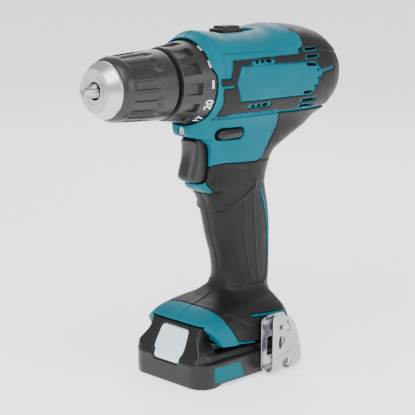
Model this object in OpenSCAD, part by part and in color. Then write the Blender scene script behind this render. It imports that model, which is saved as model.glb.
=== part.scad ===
// Cordless drill-driver with a 10 mm keyless chuck, a clutch ring and a slide-on battery.
// Frame: +X forward along the chuck axis, +Y to the tool's left, +Z up.
// The origin is the middle of the battery's flat base.

/* [Head] */
// Height of the chuck axis above the base
axis_z = 178; // [170:1:186]
// Front face of the chuck's steel nose
nose_x = 94; // [88:1:100]
// Rear end of the head
head_back_x = -93; // [-96:1:-90]
// Half width of the head at the side panels
head_half_w = 28.5; // [27.5:0.5:30]
// Wall thickness of the housing halves
wall = 2.4; // [2:0.1:3]
// Thickness of the soft overmoulded skin
skin = 1.6; // [1.2:0.1:2]

/* [Chuck] */
// Radius of the nose face
nose_r = 12.1; // [11.5:0.1:13]
// Length of the steel nose cone
nose_cone = 5.7; // [5:0.1:7]
// Radius at the rear of the nose cone
nose_back_r = 16; // [15.5:0.1:16.4]
// Length of the whole chuck, nose face to rear
chuck_len = 45.4; // [44:0.1:47]
// Largest radius of the sleeve, at its rear
sleeve_r = 20.2; // [19.5:0.1:21]
// Half of the largest bit shank that the jaws take
bit_r = 5; // [5:1:5]
// Angle between each jaw and the chuck axis
jaw_angle = 15; // [14:0.5:16]
// How far the closed jaws stand out of the nose
jaw_reach = 8.3; // [7:0.1:9]

/* [Clutch ring] */
// Gap between the chuck and the clutch ring
ring_gap = 2.6; // [2:0.1:3.5]
// Length of the clutch ring
ring_len = 23; // [21:0.5:24]
// Radius of the clutch ring at its front
ring_front_r = 21.3; // [20.5:0.1:22]
// Radius of the clutch ring at its rear
ring_back_r = 24.6; // [24:0.1:25]

/* [Gear train] */
// Gear module of all three planetary stages
gear_mod = 0.6; // [0.6:0.1:0.6]
// Teeth of the motor pinion, the planets and the ring of the first stage
first_teeth = [15, 15, 45];
// Teeth of the sun, the planets and the sliding ring of the second stage
second_teeth = [18, 15, 48];
// Teeth of the sun, the planets and the clutch ring of the third stage
third_teeth = [21, 12, 45];
// How far the sliding ring moves between low and high speed
shift_travel = 4.5; // [4:0.1:4.8]

/* [Motor] */
// Radius of the motor can
can_r = 18; // [17:0.5:18.5]
// Length of the motor can
can_len = 50; // [46:1:52]

/* [Handle] */
// Travel of the trigger
trigger_travel = 6; // [4:0.5:6.5]
// Half travel of the direction lever, to each side
lever_travel = 3.5; // [3:0.1:3.6]

/* [Battery] */
// Length of the battery
pack_len = 82; // [80:1:84]
// Width of the battery
pack_w = 62; // [61:1:64]
// Height of the battery's cell tray
tray_h = 20; // [20:0.5:21]
// Diameter of one cell
cell_d = 18.3; // [18:0.1:18.6]
// Length of one cell
cell_len = 65; // [64:0.5:66]

/* [Belt hook] */
// Width of the steel strip
hook_w = 25.5; // [22:0.5:27]
// Thickness of the steel strip
hook_t = 1.4; // [1.2:0.1:1.8]
// Gap between the two leaves of the hook
hook_gap = 8; // [6:0.5:9]

/* [Hidden] */
$fn = 64;
TEAL = [0, 0.50, 0.58];
DARK = [0.20, 0.19, 0.19];
BLACK = [0.09, 0.09, 0.09];
STEEL = [0.72, 0.73, 0.75];
DARK_STEEL = [0.42, 0.43, 0.45];
COPPER = [0.72, 0.43, 0.26];
BRASS = [0.80, 0.65, 0.32];
CLEAR_GAP = 0.35;   // between pieces that move past each other
RUN_FIT = 0.05;     // radial play of a running fit
TINY = 0.02;
PRESSURE = 25;      // pressure angle of the gear teeth
BACKLASH = 0.1;     // thinning of every tooth, at the pitch circle

// Stations along the chuck axis
chuck_back_x = nose_x - chuck_len;
ring_x = chuck_back_x - ring_gap;
ring_back_x = ring_x - ring_len;
case_nose_r = 12.4;
case_r = 19.6;
case_in_r = 17.3;
flange_x = [20.9, 26.6];
third_x = [6.3, 14.3];
second_x = [-6.2, 2.2];
first_x = [-18.7, -12.3];
case_back_x = -19.6;
motor_x = -22;
can_back_x = motor_x - can_len;
spindle_r = 5;
spindle_thread_r = 6.3;
bearing_r = 9.5;
shaft_r = 1.6;
planet_bore_r = 1.25;
planet_pin_r = 1.2;
jaw_r = 3.25;
jaw_len = 27;
nut_x = [nose_x - 21.5, nose_x - 16.5];
nut_in_r = 10.6;
sleeve_in_r = 14.86;
jaw_nose_r = 4.5 - jaw_r / cos(jaw_angle);  // radius of a jaw's axis at the nose face
// The handle and foot
lamp_x = 22;
lamp_z = 149.6;
trigger_half_w = 7;
lever_x = 5.5;
lever_z = 147.6;
knob_x = -10;
foot_z = tray_h + 0.6;
neck_half_w = 10.5;
block_half_w = 21;       // half width of the battery's contact block
block_top_z = 35;
hook_x = -20.8;
hook_z = 27;
side_y = pack_w / 2;
hook_screw_r = 2;
insert_r = 3.2;

// Section rings of the head: x, height up, height down, half width, exponent
HEAD = [
    [24, 26, 25.8, 25.6, 2.0],
    [17, 29.5, 27.2, 27, 2.1],
    [8, 29.5, 28, 27.8, 2.3],
    [-8, 28.6, 28, 28.2, 2.5],
    [-34, 30.6, 28, head_half_w, 2.5],
    [-48, 31, 28.5, head_half_w, 2.5],
    [-64, 29.8, 28.5, 28, 2.4],
    [-77, 26, 27.5, 26.6, 2.3],
    [-86, 20.5, 23, 23.6, 2.2],
    [-91, 15.5, 17.5, 20, 2.2],
    [head_back_x, 11.5, 13, 17, 2.2]
];
// Section rings of the neck under the head: z, front x, rear x, half width, exponent
NECK = [
    [166, 30, -84, 22, 3.5],
    [156, 30, -77, 20.5, 3.5],
    [147, 24, -70, 19.5, 3.2],
    [140, 18, -56, 18.6, 3],
    [132, 16, -41, 18, 2.8],
    [124, 16, -36.5, 17.6, 2.7],
    [116, 17.5, -35, 17.4, 2.6]
];
// Section rings of the handle, same columns
HANDLE = [
    [116, 17.5, -35, 17.4, 2.6],
    [107, 8.5, -37.5, 17, 2.5],
    [96, 6.5, -39.5, 16.6, 2.5],
    [82, 3, -40.5, 16, 2.5],
    [68, -1.5, -40, 15.5, 2.5],
    [58, -3, -39.5, 15.3, 2.5],
    [50, -1.5, -38.5, 15.8, 2.5]
];
// Section rings of the foot, same columns
FOOT = [
    [50, -1.5, -38.5, 15.8, 2.5],
    [46, 9, -39, 18.5, 2.7],
    [42, 23, -39.8, 24, 3.4],
    [37, 31.5, -40.5, 29, 4.5],
    [30, 35, -41, side_y, 6],
    [foot_z, 37, -41, side_y, 6]
];

// ---------- shared shapes ----------

// Point of a rounded box outline at angle t; n is 2 for an ellipse and more for a squarer one.
function outline(t, a, b, n) = [
    a * sign(cos(t)) * pow(abs(cos(t)), 2 / n),
    b * sign(sin(t)) * pow(abs(sin(t)), 2 / n)
];

OUTLINE_STEPS = 28;

// Lays a flat shape's plane across the chuck axis: its x becomes Y and its y becomes Z.
module across(x) {
    translate([x, 0, axis_z]) rotate([90, 0, 90]) children();
}

// A round bar along the chuck axis from x = from to x = to.
module bar(from, to, r) {
    across(from) cylinder(h = to - from, r = r);
}

module tube(from, to, r, r_in) {
    difference() {
        bar(from, to, r);
        bar(from - 1, to + 1, r_in);
    }
}

// Corners of one section ring of the head.
function head_slice(ring, inset) = [for (i = [0:OUTLINE_STEPS - 1])
    let (
        t = i * 360 / OUTLINE_STEPS,
        up = t <= 180 ? ring[1] : ring[2],
        p = outline(t, ring[3] - inset, up - inset, ring[4])
    )
    [ring[0], p[0], axis_z + p[1]]];

// Corners of one level section ring.
function level_slice(ring, inset) = [for (i = [0:OUTLINE_STEPS - 1])
    let (p = outline(i * 360 / OUTLINE_STEPS, (ring[1] - ring[2]) / 2 - inset, ring[3] - inset, ring[4]))
    [(ring[1] + ring[2]) / 2 + p[0], p[1], ring[0]]];

// The solid between two rings.
module segment(a, b) {
    hull() polyhedron(concat(a, b), [[for (i = [0:len(a) + len(b) - 1]) i]]);
}

module head_loft(inset = 0) {
    intersection() {
        union() for (i = [0:len(HEAD) - 2])
            segment(head_slice(HEAD[i], inset), head_slice(HEAD[i + 1], inset));
        translate([head_back_x + inset, -60, 100]) cube([200, 120, 150]);
    }
}

module level_loft(rings, inset = 0) {
    for (i = [0:len(rings) - 2])
        segment(level_slice(rings[i], inset), level_slice(rings[i + 1], inset));
}

// A flat outline in the XZ plane, made solid from y = from to y = to.
module side_plate(points, from, to) {
    translate([0, to, 0]) rotate([90, 0, 0]) linear_extrude(to - from) polygon(points);
}

module half_space(side) {
    translate([-150, side > 0 ? 0 : -100, -10]) cube([300, 100, 260]);
}

// ---------- gears ----------

function involute(a) = tan(a) * 180 / PI - a;

// Outline of a spur gear. Widen a tooth with a negative backlash.
function gear_outline(teeth, addendum, dedendum, backlash) =
    let (
        pitch_r = gear_mod * teeth / 2,
        base_r = pitch_r * cos(PRESSURE),
        tip_r = pitch_r + addendum * gear_mod,
        root_r = pitch_r - dedendum * gear_mod,
        low_r = max(base_r, root_r) + 0.001,
        half = 90 / teeth - backlash / 2 / pitch_r * 180 / PI + involute(PRESSURE),
        radii = [low_r, (low_r + tip_r) / 2, tip_r],
        flank = [for (r = radii) [r, max(half - involute(acos(base_r / r)), 0.2)]],
        side = concat([[root_r, flank[0][1]]], flank)
    )
    [for (i = [0:teeth - 1], k = [0:7])
        let (
            p = k < 4 ? side[k] : side[7 - k],
            a = i * 360 / teeth + (k < 4 ? -p[1] : p[1])
        )
        [p[0] * cos(a), p[0] * sin(a)]];

module spur(teeth, x) {
    across(x[0]) linear_extrude(x[1] - x[0]) polygon(gear_outline(teeth, 0.9, 1.15, BACKLASH));
}

// Turn of a planet at angle t so that it meshes with a sun that has a tooth at angle zero.
function planet_turn(teeth, t) = (t * teeth[0] + (t + 180) * teeth[1] - 180) / teeth[1];
// Turn of the ring's tooth gaps that meets those planets.
function ring_turn(teeth) = 180 * (teeth[1] - 1) / teeth[2];
function orbit_r(teeth) = gear_mod * (teeth[0] + teeth[1]) / 2;

// Planet number k of a stage, with the bore that runs on its carrier pin.
module planet(teeth, x, k) {
    t = 120 * k;
    difference() {
        across(x[0])
            translate([orbit_r(teeth) * cos(t), orbit_r(teeth) * sin(t), 0])
                rotate(planet_turn(teeth, t))
                    linear_extrude(x[1] - x[0]) polygon(gear_outline(teeth[1], 0.9, 1.15, BACKLASH));
        across(x[0] - 1)
            translate([orbit_r(teeth) * cos(t), orbit_r(teeth) * sin(t), 0])
                cylinder(h = 20, r = planet_bore_r, $fn = 24);
    }
}

// Inner-toothed ring of outside radius r.
module ring_gear(teeth, x, r) {
    difference() {
        bar(x[0], x[1], r);
        across(x[0] - 1) rotate(ring_turn(teeth))
            linear_extrude(x[1] - x[0] + 2) polygon(gear_outline(teeth[2], 1.15, 0.85, -BACKLASH));
    }
}

// Disc with three planet pins on its rear side; front and back give the disc, pin_x the pin ends.
module carrier(teeth, back, front, pin_x, r) {
    bar(back, front, r);
    for (k = [0:2])
        across(pin_x)
            translate([orbit_r(teeth) * cos(120 * k), orbit_r(teeth) * sin(120 * k), 0])
                cylinder(h = back - pin_x + 0.5, r = planet_pin_r, $fn = 24);
}

module first_planet(k) color(DARK_STEEL) planet(first_teeth, first_x, k);
module second_planet(k) color(DARK_STEEL) planet(second_teeth, second_x, k);
module third_planet(k) color(DARK_STEEL) planet(third_teeth, third_x, k);

module first_carrier() color(STEEL) {
    carrier(first_teeth, -11.9, -9.2, first_x[0], 13.1);
    spur(second_teeth[0], [-9.3, second_x[1]]);
}

module second_carrier() color(STEEL) {
    carrier(second_teeth, 2.8, 5.2, second_x[0], 13.1);
    spur(third_teeth[0], [5.1, third_x[1]]);
}

module third_carrier() color(STEEL) difference() {
    carrier(third_teeth, 14.9, 18.8, third_x[0], 12.4);
    bar(14.8, 20, spindle_r);
}

module first_ring_gear() color(DARK_STEEL) ring_gear(first_teeth, [-19.2, -12.2], case_in_r);
module clutch_ring_gear() color(DARK_STEEL) ring_gear(third_teeth, [5.9, 19.9], case_in_r - RUN_FIT);

module shift_ring_gear() color(DARK_STEEL) difference() {
    ring_gear(second_teeth, [-5.5, 2.5], case_in_r - RUN_FIT);
    tube(-2.6, -0.4, case_in_r + 1, case_in_r - 1.2);
}

// ---------- chuck and clutch ----------

// Moves its children from the chuck axis frame to the slanted axis of jaw k.
// The jaw axis runs along local z, with z = 0 level with the nose face.
module jaw_axis(k) {
    across(nose_x) rotate(90 + 120 * k) translate([jaw_nose_r, 0, 0]) rotate([0, -jaw_angle, 0]) children();
}

module jaw(k) color(STEEL) intersection() {
    jaw_axis(k) translate([0, 0, jaw_reach - jaw_len]) cylinder(h = jaw_len, r = jaw_r);
    across(nose_x - 60) rotate(90 + 120 * k) translate([0.25, 0, 0])
        linear_extrude(60 + jaw_reach) polygon([[0, 0], [12, -12 * tan(60)], [30, 0], [12, 12 * tan(60)]]);
    bar(nose_x - 60, nose_x + jaw_reach, 16);
}

module chuck_body() color(STEEL) difference() {
    union() {
        across(nose_x - nose_cone) cylinder(h = nose_cone, r1 = nose_back_r, r2 = nose_r);
        bar(nose_x - nose_cone - 1.4, nose_x - nose_cone, nose_back_r);
        bar(chuck_back_x + 0.6, nose_x - nose_cone - 1, sleeve_in_r - RUN_FIT);
    }
    bar(nose_x - 32, nose_x + 1, bit_r + 0.2);
    bar(chuck_back_x - 1, nose_x - 31.9, spindle_thread_r);
    tube(nut_x[0], nut_x[1], 20, nut_in_r - 0.2);
    tube(nose_x - 0.4, nose_x + 1, 7.9, 7.5);
    for (k = [0:2]) jaw_axis(k) translate([0, 0, -39.5]) cylinder(h = 60, r = jaw_r + RUN_FIT);
}

module chuck_nut() color(BRASS) tube(nut_x[0] + 0.2, nut_x[1] - 0.2, sleeve_in_r - 0.04, nut_in_r);

SLEEVE_RIBS = 24;

module chuck_sleeve() color(DARK) {
    front_x = nose_x - nose_cone - 1.7;
    difference() {
        rotate_about_axis([
            [front_x, sleeve_in_r], [front_x, 16.3], [front_x - 2.6, 17.9], [front_x - 5, 18.5],
            [chuck_back_x + 1.2, sleeve_r], [chuck_back_x, sleeve_r - 1], [chuck_back_x, sleeve_in_r]
        ]);
        for (i = [0:SLEEVE_RIBS - 1])
            across(chuck_back_x + 4) rotate(i * 360 / SLEEVE_RIBS) translate([sleeve_r + 0.2, 0, 0])
                rotate([0, -1.6, 0]) cylinder(h = 28, r = 1.3, $fn = 6);
    }
}

// Turns an outline of [x, radius] points about the chuck axis.
module rotate_about_axis(points) {
    translate([0, 0, axis_z]) rotate([0, 90, 0])
        rotate_extrude($fn = 96) polygon([for (p = points) [p[1], p[0]]]);
}

module spindle() color(STEEL) {
    bar(14.9, 46.6, spindle_r);
    bar(46.5, nose_x - 32, spindle_thread_r);
}

// Front ball bearing: two races and a ring of balls.
module spindle_bearing() color(STEEL) {
    race = 1.3;
    tube(39, 45, bearing_r, bearing_r - race);
    tube(39, 45, spindle_r + RUN_FIT + race, spindle_r + RUN_FIT);
    for (i = [0:8])
        across(42) rotate(40 * i) translate([(bearing_r + spindle_r + RUN_FIT) / 2, 0, 0])
            sphere(r = 0.9, $fn = 20);
}

RING_POCKETS = 12;
POCKET_TURN = 26;

module torque_ring() color(DARK) difference() {
    rotate_about_axis([
        [ring_x, 13.4], [ring_x, ring_front_r - 0.8], [ring_x - 0.8, ring_front_r],
        [ring_back_x + 0.8, ring_back_r], [ring_back_x, ring_back_r - 0.6], [ring_back_x, 20.2],
        [ring_x - 2.6, 18], [ring_x - 2.6, 13.4]
    ]);
    for (i = [0:RING_POCKETS - 1])
        across(ring_x - 12.5) rotate(POCKET_TURN + i * 360 / RING_POCKETS)
            translate([ring_front_r - 0.3, -3.1, 0]) cube([8, 6.2, 20]);
}

module spring_plate() color(STEEL) tube(27.4, 28.6, 17, case_nose_r + 0.3);

BALL_R = 1.75;
BALL_ORBIT = 15;

module ball_places() {
    for (i = [0:5]) rotate(60 * i + 30) translate([BALL_ORBIT, 0, 0]) children();
}

module clutch_balls() color(STEEL) across(flange_x[0] + 3.9) ball_places() sphere(r = BALL_R, $fn = 20);

// Helical spring: wire of radius wire on a coil of radius r, swept as short straight pieces.
module coil(r, wire, length, turns, steps) {
    sides = 6;
    n = turns * steps;
    points = [for (i = [0:n], k = [0:sides - 1])
        let (a = i * 360 / steps, b = k * 360 / sides, rr = r + wire * cos(b))
        [rr * cos(a), rr * sin(a), wire * sin(b) + length * i / n]];
    faces = concat(
        [[for (k = [0:sides - 1]) k]],
        [for (i = [0:n - 1], k = [0:sides - 1]) let (m = (k + 1) % sides)
            [i * sides + k, (i + 1) * sides + k, (i + 1) * sides + m, i * sides + m]],
        [[for (k = [sides - 1:-1:0]) n * sides + k]]
    );
    polyhedron(points, faces);
}

module clutch_spring() color(STEEL) across(29.8) coil(14.8, 0.95, 11.4, 3, 20);

// ---------- gear case and motor ----------

module gear_case() color(BLACK) difference() {
    union() {
        bar(flange_x[1] - 0.5, 46.2, case_nose_r);
        bar(case_back_x, flange_x[1], case_r);
        for (a = [45, 135, 225, 315]) rotate_bolt(a) cylinder(h = 4, r = 3);
    }
    bar(flange_x[0] - TINY, 39, spindle_r + 1.5);
    bar(39, 47, bearing_r);
    bar(case_back_x - 1, flange_x[0], case_in_r);
    across(flange_x[0] - 1) ball_places() cylinder(h = 8, r = BALL_R + 0.1, $fn = 24);
    translate([-9.5, -3.2, axis_z + case_in_r - 2]) cube([11.5, 6.4, 6]);
    for (a = [45, 135, 225, 315]) rotate_bolt(a) translate([0, 0, -1]) cylinder(h = 9, r = 1.2, $fn = 24);
}

module rotate_bolt(a) {
    across(case_back_x) rotate(a) translate([20, 0, 0]) children();
}

module motor_bracket() color(DARK_STEEL) difference() {
    union() {
        bar(motor_x + 0.1, case_back_x, case_r);
        for (a = [45, 135, 225, 315]) across(motor_x + 0.1) rotate(a) translate([20, 0, 0])
            cylinder(h = case_back_x - motor_x - 0.1, r = 3);
    }
    bar(motor_x - 1, case_back_x + 1, 6.2);
    for (a = [45, 135, 225, 315]) rotate_bolt(a) translate([0, 0, -4]) cylinder(h = 8, r = 1.2, $fn = 24);
}

module motor_can() color(DARK_STEEL) difference() {
    bar(can_back_x, motor_x, can_r);
    bar(can_back_x - 1, motor_x - 1.5, can_r - 1.4);
    bar(motor_x - 3, motor_x + 1, 5.8);
    for (a = [0:60:300])
        across(motor_x - 9) rotate(a) translate([can_r - 3, -3, 0]) cube([6, 6, 5]);
}

module motor_magnets() color(BLACK) for (a = [0, 180]) across(can_back_x + 6) rotate(a) intersection() {
    difference() {
        cylinder(h = 32, r = can_r - 1.4);
        translate([0, 0, -1]) cylinder(h = 40, r = 13.2);
    }
    linear_extrude(40) polygon([[0, 0], [30, -30], [30, 30]]);
}

module brush_holder() color(BLACK) difference() {
    union() {
        bar(can_back_x - 2.4, can_back_x, can_r);
        bar(can_back_x, can_back_x + 4, can_r - 1.4);
        bar(can_back_x - 4.4, can_back_x - 2, 6.2);
    }
    bar(can_back_x - 3.4, can_back_x + 5, 4);
    bar(can_back_x - 6, can_back_x, shaft_r + 0.4);
    bar(can_back_x + 0.2, can_back_x + 5, 8);
    for (a = [0, 180]) across(can_back_x + 0.2) rotate(a) translate([4, -2.1, 0]) cube([13, 4.2, 8]);
}

// Two carbon blocks that press on the commutator.
module carbon_brushes() color(BLACK) for (a = [0, 180])
    across(can_back_x + 0.5) rotate(a) translate([5.6, -2, 0]) cube([7, 4, 5]);

module motor_bearings() color(BRASS) {
    tube(motor_x - 1.5, motor_x + 0.1, 5.8, shaft_r + RUN_FIT);
    tube(can_back_x - 3.4, can_back_x - 0.4, 4, shaft_r + RUN_FIT);
}

module rotor_shaft() color(STEEL) bar(can_back_x - 4, first_x[0] + 5.6, shaft_r);

module motor_pinion() color(DARK_STEEL) difference() {
    spur(first_teeth[0], [first_x[0] + 0.2, first_x[1] - 0.2]);
    bar(-30, 0, shaft_r);
}

// Laminated core with five poles, and the commutator behind it.
module rotor_core() color(COPPER) difference() {
    union() {
        bar(can_back_x + 8, can_back_x + 36, 12.6);
        bar(can_back_x + 0.8, can_back_x + 8.2, 5.2);
    }
    for (a = [0:72:288])
        across(can_back_x + 7.9) rotate(a) translate([8, -1, 0]) cube([6, 2, 40]);
    bar(can_back_x - 2, can_back_x + 40, shaft_r);
}

module motor_fan() color(BLACK) difference() {
    union() {
        bar(motor_x - 9, motor_x - 7.8, 14.5);
        bar(motor_x - 9, motor_x - 3, 4);
        for (a = [0:30:330])
            across(motor_x - 8) rotate(a) translate([3.5, -0.4, 0]) cube([10.6, 0.8, 4.4]);
    }
    bar(motor_x - 10, motor_x, shaft_r);
}

// ---------- housing ----------

module tool_outside(inset = 0) {
    head_loft(inset);
    level_loft(NECK, inset);
    level_loft(HANDLE, inset);
    level_loft(FOOT, inset);
    collar(inset);
    guard(inset);
}

// Lamp collar that reaches forward under the clutch ring.
module collar(inset) {
    half = 14 - inset;
    hull() {
        translate([12, -half, 145.5 + inset]) cube([10, 2 * half, 11 - 2 * inset]);
        translate([12, -half + 6, 145.5 + inset]) cube([17.4 - inset, 2 * half - 12, 12 - 2 * inset]);
        translate([12, -half + 3, 144.5 + inset]) cube([13 - inset, 2 * half - 6, 11 - 2 * inset]);
    }
}

// Lip under the trigger.
module guard(inset) {
    hull() {
        translate([6, -11 + inset, 111 + inset]) cube([6, 22 - 2 * inset, 8 - 2 * inset]);
        translate([12, -6 + inset, 113.5 + inset]) cube([8 - inset, 12 - 2 * inset, 4.1 - 2 * inset]);
    }
}

// Side view outline of the area that the soft skin covers.
module skin_zone() {
    side_plate([
        [-46, 215], [-43, 192], [10, 191], [15, 180], [16, 159], [-30, 159], [-9.7, 131], [12, 131],
        [15, 118], [10, 111], [60, 111], [60, 46], [18, 46], [7.3, 33.4], [0, 24], [-15, 22.3], [-15, 0],
        [-120, 0], [-120, 215]
    ], -60, 60);
}

// Opening in the side of the head that the hard panel fills.
module panel_zone() {
    side_plate([
        [4.6, 186.7], [-58.3, 186], [-65.5, 178.8], [-55.7, 166], [4.2, 166.7], [9, 178.5]
    ], -60, 60);
}

module housing_cavity() {
    inside = skin + wall;
    head_loft(inside);
    level_loft(NECK, inside);
    level_loft(HANDLE, inside);
    intersection() {
        level_loft(FOOT, inside);
        translate([-100, -60, foot_z + 3]) cube([200, 120, 60]);
    }
    translate([13, -9, 147]) cube([10.5, 18, 7]);
}

// Bay in the foot that the battery's contact block slides into, open to the front and below.
module battery_bay() {
    translate([-34, -block_half_w - 0.6, 0]) cube([90, 2 * block_half_w + 1.2, block_top_z + 0.7]);
}

module housing_openings() {
    bar(ring_back_x - 0.4, 60, ring_back_r + 0.5);
    bar(case_back_x - 4, 60, case_r + 0.4);
    translate([6, -trigger_half_w - 0.4, 117.6]) cube([40, 2 * trigger_half_w + 0.8, 27.6]);
    translate([lever_x - 11, -60, lever_z - 4]) cube([22, 120, 8]);
    translate([lamp_x + 1, 0, lamp_z]) rotate([0, 90, 0]) cylinder(h = 12, r = 2.6, $fn = 24);
    translate([knob_x - 15, -6.4, axis_z + 26.2]) cube([30, 12.8, 10]);
    translate([knob_x - 11, -3, axis_z + 15]) cube([22, 6, 20]);
    for (s = [-1, 1]) translate([hook_x, s * (side_y - 3.9), hook_z + 2]) rotate([90, 0, 0])
        translate([0, 0, -6]) cylinder(h = 12, r = insert_r + 0.1, $fn = 24);
    for (s = [-1, 1], z = [193.8, 189.4, 163.2, 159.6]) translate([-55.5, s * 26, z]) cube([13, 12, 1.6], true);
    for (s = [-1, 1], z = [188.8, 163.4], i = [0:3]) translate([-6 - 4.5 * i, s * 28, z]) cube([3, 12, 1.6], true);
    battery_bay();
}

// Walls that hold the motor and gear case, and the screw bosses.
module housing_ribs() {
    for (x = [-26, -66]) intersection() {
        head_loft(skin);
        difference() {
            translate([x - 1, -60, 100]) cube([2, 120, 130]);
            bar(x - 2, x + 2, can_r + 0.1);
            translate([x - 2, -12, 100]) cube([4, 24, 62]);
        }
    }
    at_screws() cylinder(h = 80, r = 3.4, $fn = 24, center = true);
}

// Puts its children at every housing screw, with local z towards the tool's right side.
module at_screws() {
    for (p = SCREWS) translate([p[0], 0, p[1]]) rotate([90, 0, 0]) children();
}

// Screw places in side view: x and z.
SCREWS = [[12.3, 201], [-69, 200], [-82, 165.5], [-24, 150.5], [2, 110.4], [-28, 101], [-18, 54.5], [-33, 43.6]];
SCREW_R = 1.6;
SCREW_PLAY = 0.06;
SCREW_HEAD_R = 2.8;
SCREW_HEAD_Y = -11;

module housing_half(side) color(TEAL) intersection() {
    half_space(side);
    difference() {
        union() {
            difference() {
                tool_outside();
                housing_cavity();
                difference() {
                    skin_zone();
                    panel_zone();
                    tool_outside(skin);
                }
            }
            intersection() {
                housing_ribs();
                tool_outside(skin);
            }
        }
        housing_openings();
        at_screws() {
            translate([0, 0, -9]) cylinder(h = 30, r = SCREW_R, $fn = 20);
            translate([0, 0, -SCREW_HEAD_Y]) cylinder(h = 40, r = SCREW_HEAD_R + 0.2, $fn = 20);
        }
    }
}

module housing_left() housing_half(1);
module housing_right() housing_half(-1);

module grip_half(side) color(DARK) intersection() {
    half_space(side);
    difference() {
        intersection() {
            tool_outside();
            difference() {
                skin_zone();
                panel_zone();
            }
        }
        tool_outside(skin);
        housing_openings();
        at_screws() translate([0, 0, -SCREW_HEAD_Y]) cylinder(h = 40, r = SCREW_HEAD_R + 0.2, $fn = 20);
    }
}

module grip_left() grip_half(1);
module grip_right() grip_half(-1);

module housing_screws() color(BLACK) at_screws() {
    translate([0, 0, -9]) cylinder(h = 9 - SCREW_HEAD_Y + 0.5, r = SCREW_R - SCREW_PLAY, $fn = 20);
    translate([0, 0, -SCREW_HEAD_Y]) cylinder(h = 2, r = SCREW_HEAD_R, $fn = 20);
}

// ---------- controls ----------

module trigger() color(DARK) difference() {
    side_plate([
        [8, 118.4], [20, 118.2], [25.6, 118.8], [27.4, 120.6], [27.6, 122.8], [26.2, 127.4], [24.8, 132],
        [24.4, 137], [24.8, 141], [25.8, 144.6], [8, 144.6]
    ], -trigger_half_w, trigger_half_w);
    translate([7, -3, 128]) cube([5, 6, 6]);
}

module trigger_spring() color(STEEL) translate([-1.6, 0, 131]) rotate([0, 90, 0]) coil(2, 0.4, 12.8, 6, 10);

module switch_body() color(BLACK) difference() {
    translate([-24, -9, 113]) cube([22, 18, 30]);
    translate([-10, -3.6, 127.4]) cube([20, 7.2, 7.2]);
}

module direction_lever() color(BLACK) {
    end = 17.2;
    for (y = [-end, end]) translate([lever_x, y, lever_z]) cube([19, 4, 6], true);
    translate([lever_x, 0, lever_z]) cube([12, 2 * end, 4], true);
    translate([lever_x - 14, -1.5, lever_z - 2.9]) cube([16, 3, 3]);
}

module led_lamp() color([0.95, 0.97, 1]) {
    translate([lamp_x, 0, lamp_z]) rotate([0, 90, 0]) cylinder(h = 6, r = 2.4, $fn = 24);
    translate([lamp_x - 2, -5, lamp_z - 2.4]) cube([2, 10, 4.8]);
}

module speed_knob() color(BLACK) {
    translate([knob_x + 2, 0, axis_z + 26.6]) difference() {
        translate([-9, -5.9, 0]) cube([18, 11.8, 4.2]);
        for (i = [-2:2]) translate([3 * i, -7, 3.5]) cube([1, 14, 2]);
    }
    translate([knob_x + 2 - 3, -2.6, axis_z + 22]) cube([6, 5.2, 5]);
}

// Wire fork that joins the knob to the sliding ring gear.
module shift_fork() color(STEEL) {
    translate([-2.4, -1, axis_z + case_in_r - 1.1]) cube([1.8, 2, 5]);
    translate([-10, -1, axis_z + 20]) cube([9.4, 2, 1.6]);
}

module battery_terminals() color(BLACK) {
    translate([-33, -12, block_top_z + 0.9]) cube([22, 24, 3]);
    for (y = [-8, 0, 8]) translate([-31, y - 0.5, block_top_z - 5]) cube([16, 1, 6.5]);
}

// Leads from the motor's brushes to the switch.
module motor_leads() color([0.7, 0.1, 0.1]) for (s = [-1, 1]) {
    route = [
        [can_back_x - 3.8, s * 13, axis_z], [can_back_x - 3.8, s * 13, 163], [-66, s * 10, 154.5],
        [-44, s * 6, 143], [-33, s * 5, 134], [-25.4, s * 5, 132]
    ];
    for (i = [0:len(route) - 2]) hull() {
        translate(route[i]) sphere(r = 1.1, $fn = 12);
        translate(route[i + 1]) sphere(r = 1.1, $fn = 12);
    }
}

// ---------- battery and hook ----------

module pack_outline(inset, h) {
    r = 10;
    linear_extrude(h) hull() for (x = [-1, 1], y = [-1, 1])
        translate([x * (pack_len / 2 - r), y * (pack_w / 2 - r)]) circle(r = r - inset);
}

TRAY_SPLIT = 15.4;

module battery_case() color(BLACK) difference() {
    pack_outline(0, TRAY_SPLIT);
    translate([0, 0, 1.2]) pack_outline(1.4, tray_h);
}

module battery_cover() color(BLACK) difference() {
    union() {
        translate([0, 0, TRAY_SPLIT]) pack_outline(0, tray_h - TRAY_SPLIT);
        side_plate([
            [pack_len / 2 - 0.3, TRAY_SPLIT], [pack_len / 2 - 9.6, block_top_z], [-32, block_top_z],
            [-32, TRAY_SPLIT]
        ], -block_half_w, block_half_w);
    }
    translate([0, 0, TRAY_SPLIT - 1]) pack_outline(1.4, 4.8);
    translate([-29, -16, TRAY_SPLIT - 1]) cube([46, 32, block_top_z - TRAY_SPLIT - 1]);
    for (y = [-8, 0, 8]) translate([-33, y - 0.9, block_top_z - 6.2]) cube([20, 1.8, 8]);
    translate([22, -12.3, 12]) cube([30, 24.6, 20.6]);
}

module battery_cells() color([0.25, 0.45, 0.35]) for (y = [-1, 0, 1])
    translate([-cell_len / 2 - 3.5, y * (cell_d + 0.5), 1.2 + cell_d / 2 + 0.1]) rotate([0, 90, 0])
        cylinder(h = cell_len, r = cell_d / 2 - 0.6);

module battery_button() color([0.86, 0.90, 0.94]) difference() {
    side_plate([
        [pack_len / 2 - 0.6, TRAY_SPLIT + 0.4], [pack_len / 2 - 8.6, 32.2], [28, 32.2], [28, 24],
        [pack_len / 2 - 4.5, TRAY_SPLIT + 0.4]
    ], -11.6, 11.6);
    for (s = [-1, 1]) translate([20, s * 13.4 - 1.6, 12]) cube([30, 3.2, 9]);
}

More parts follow.
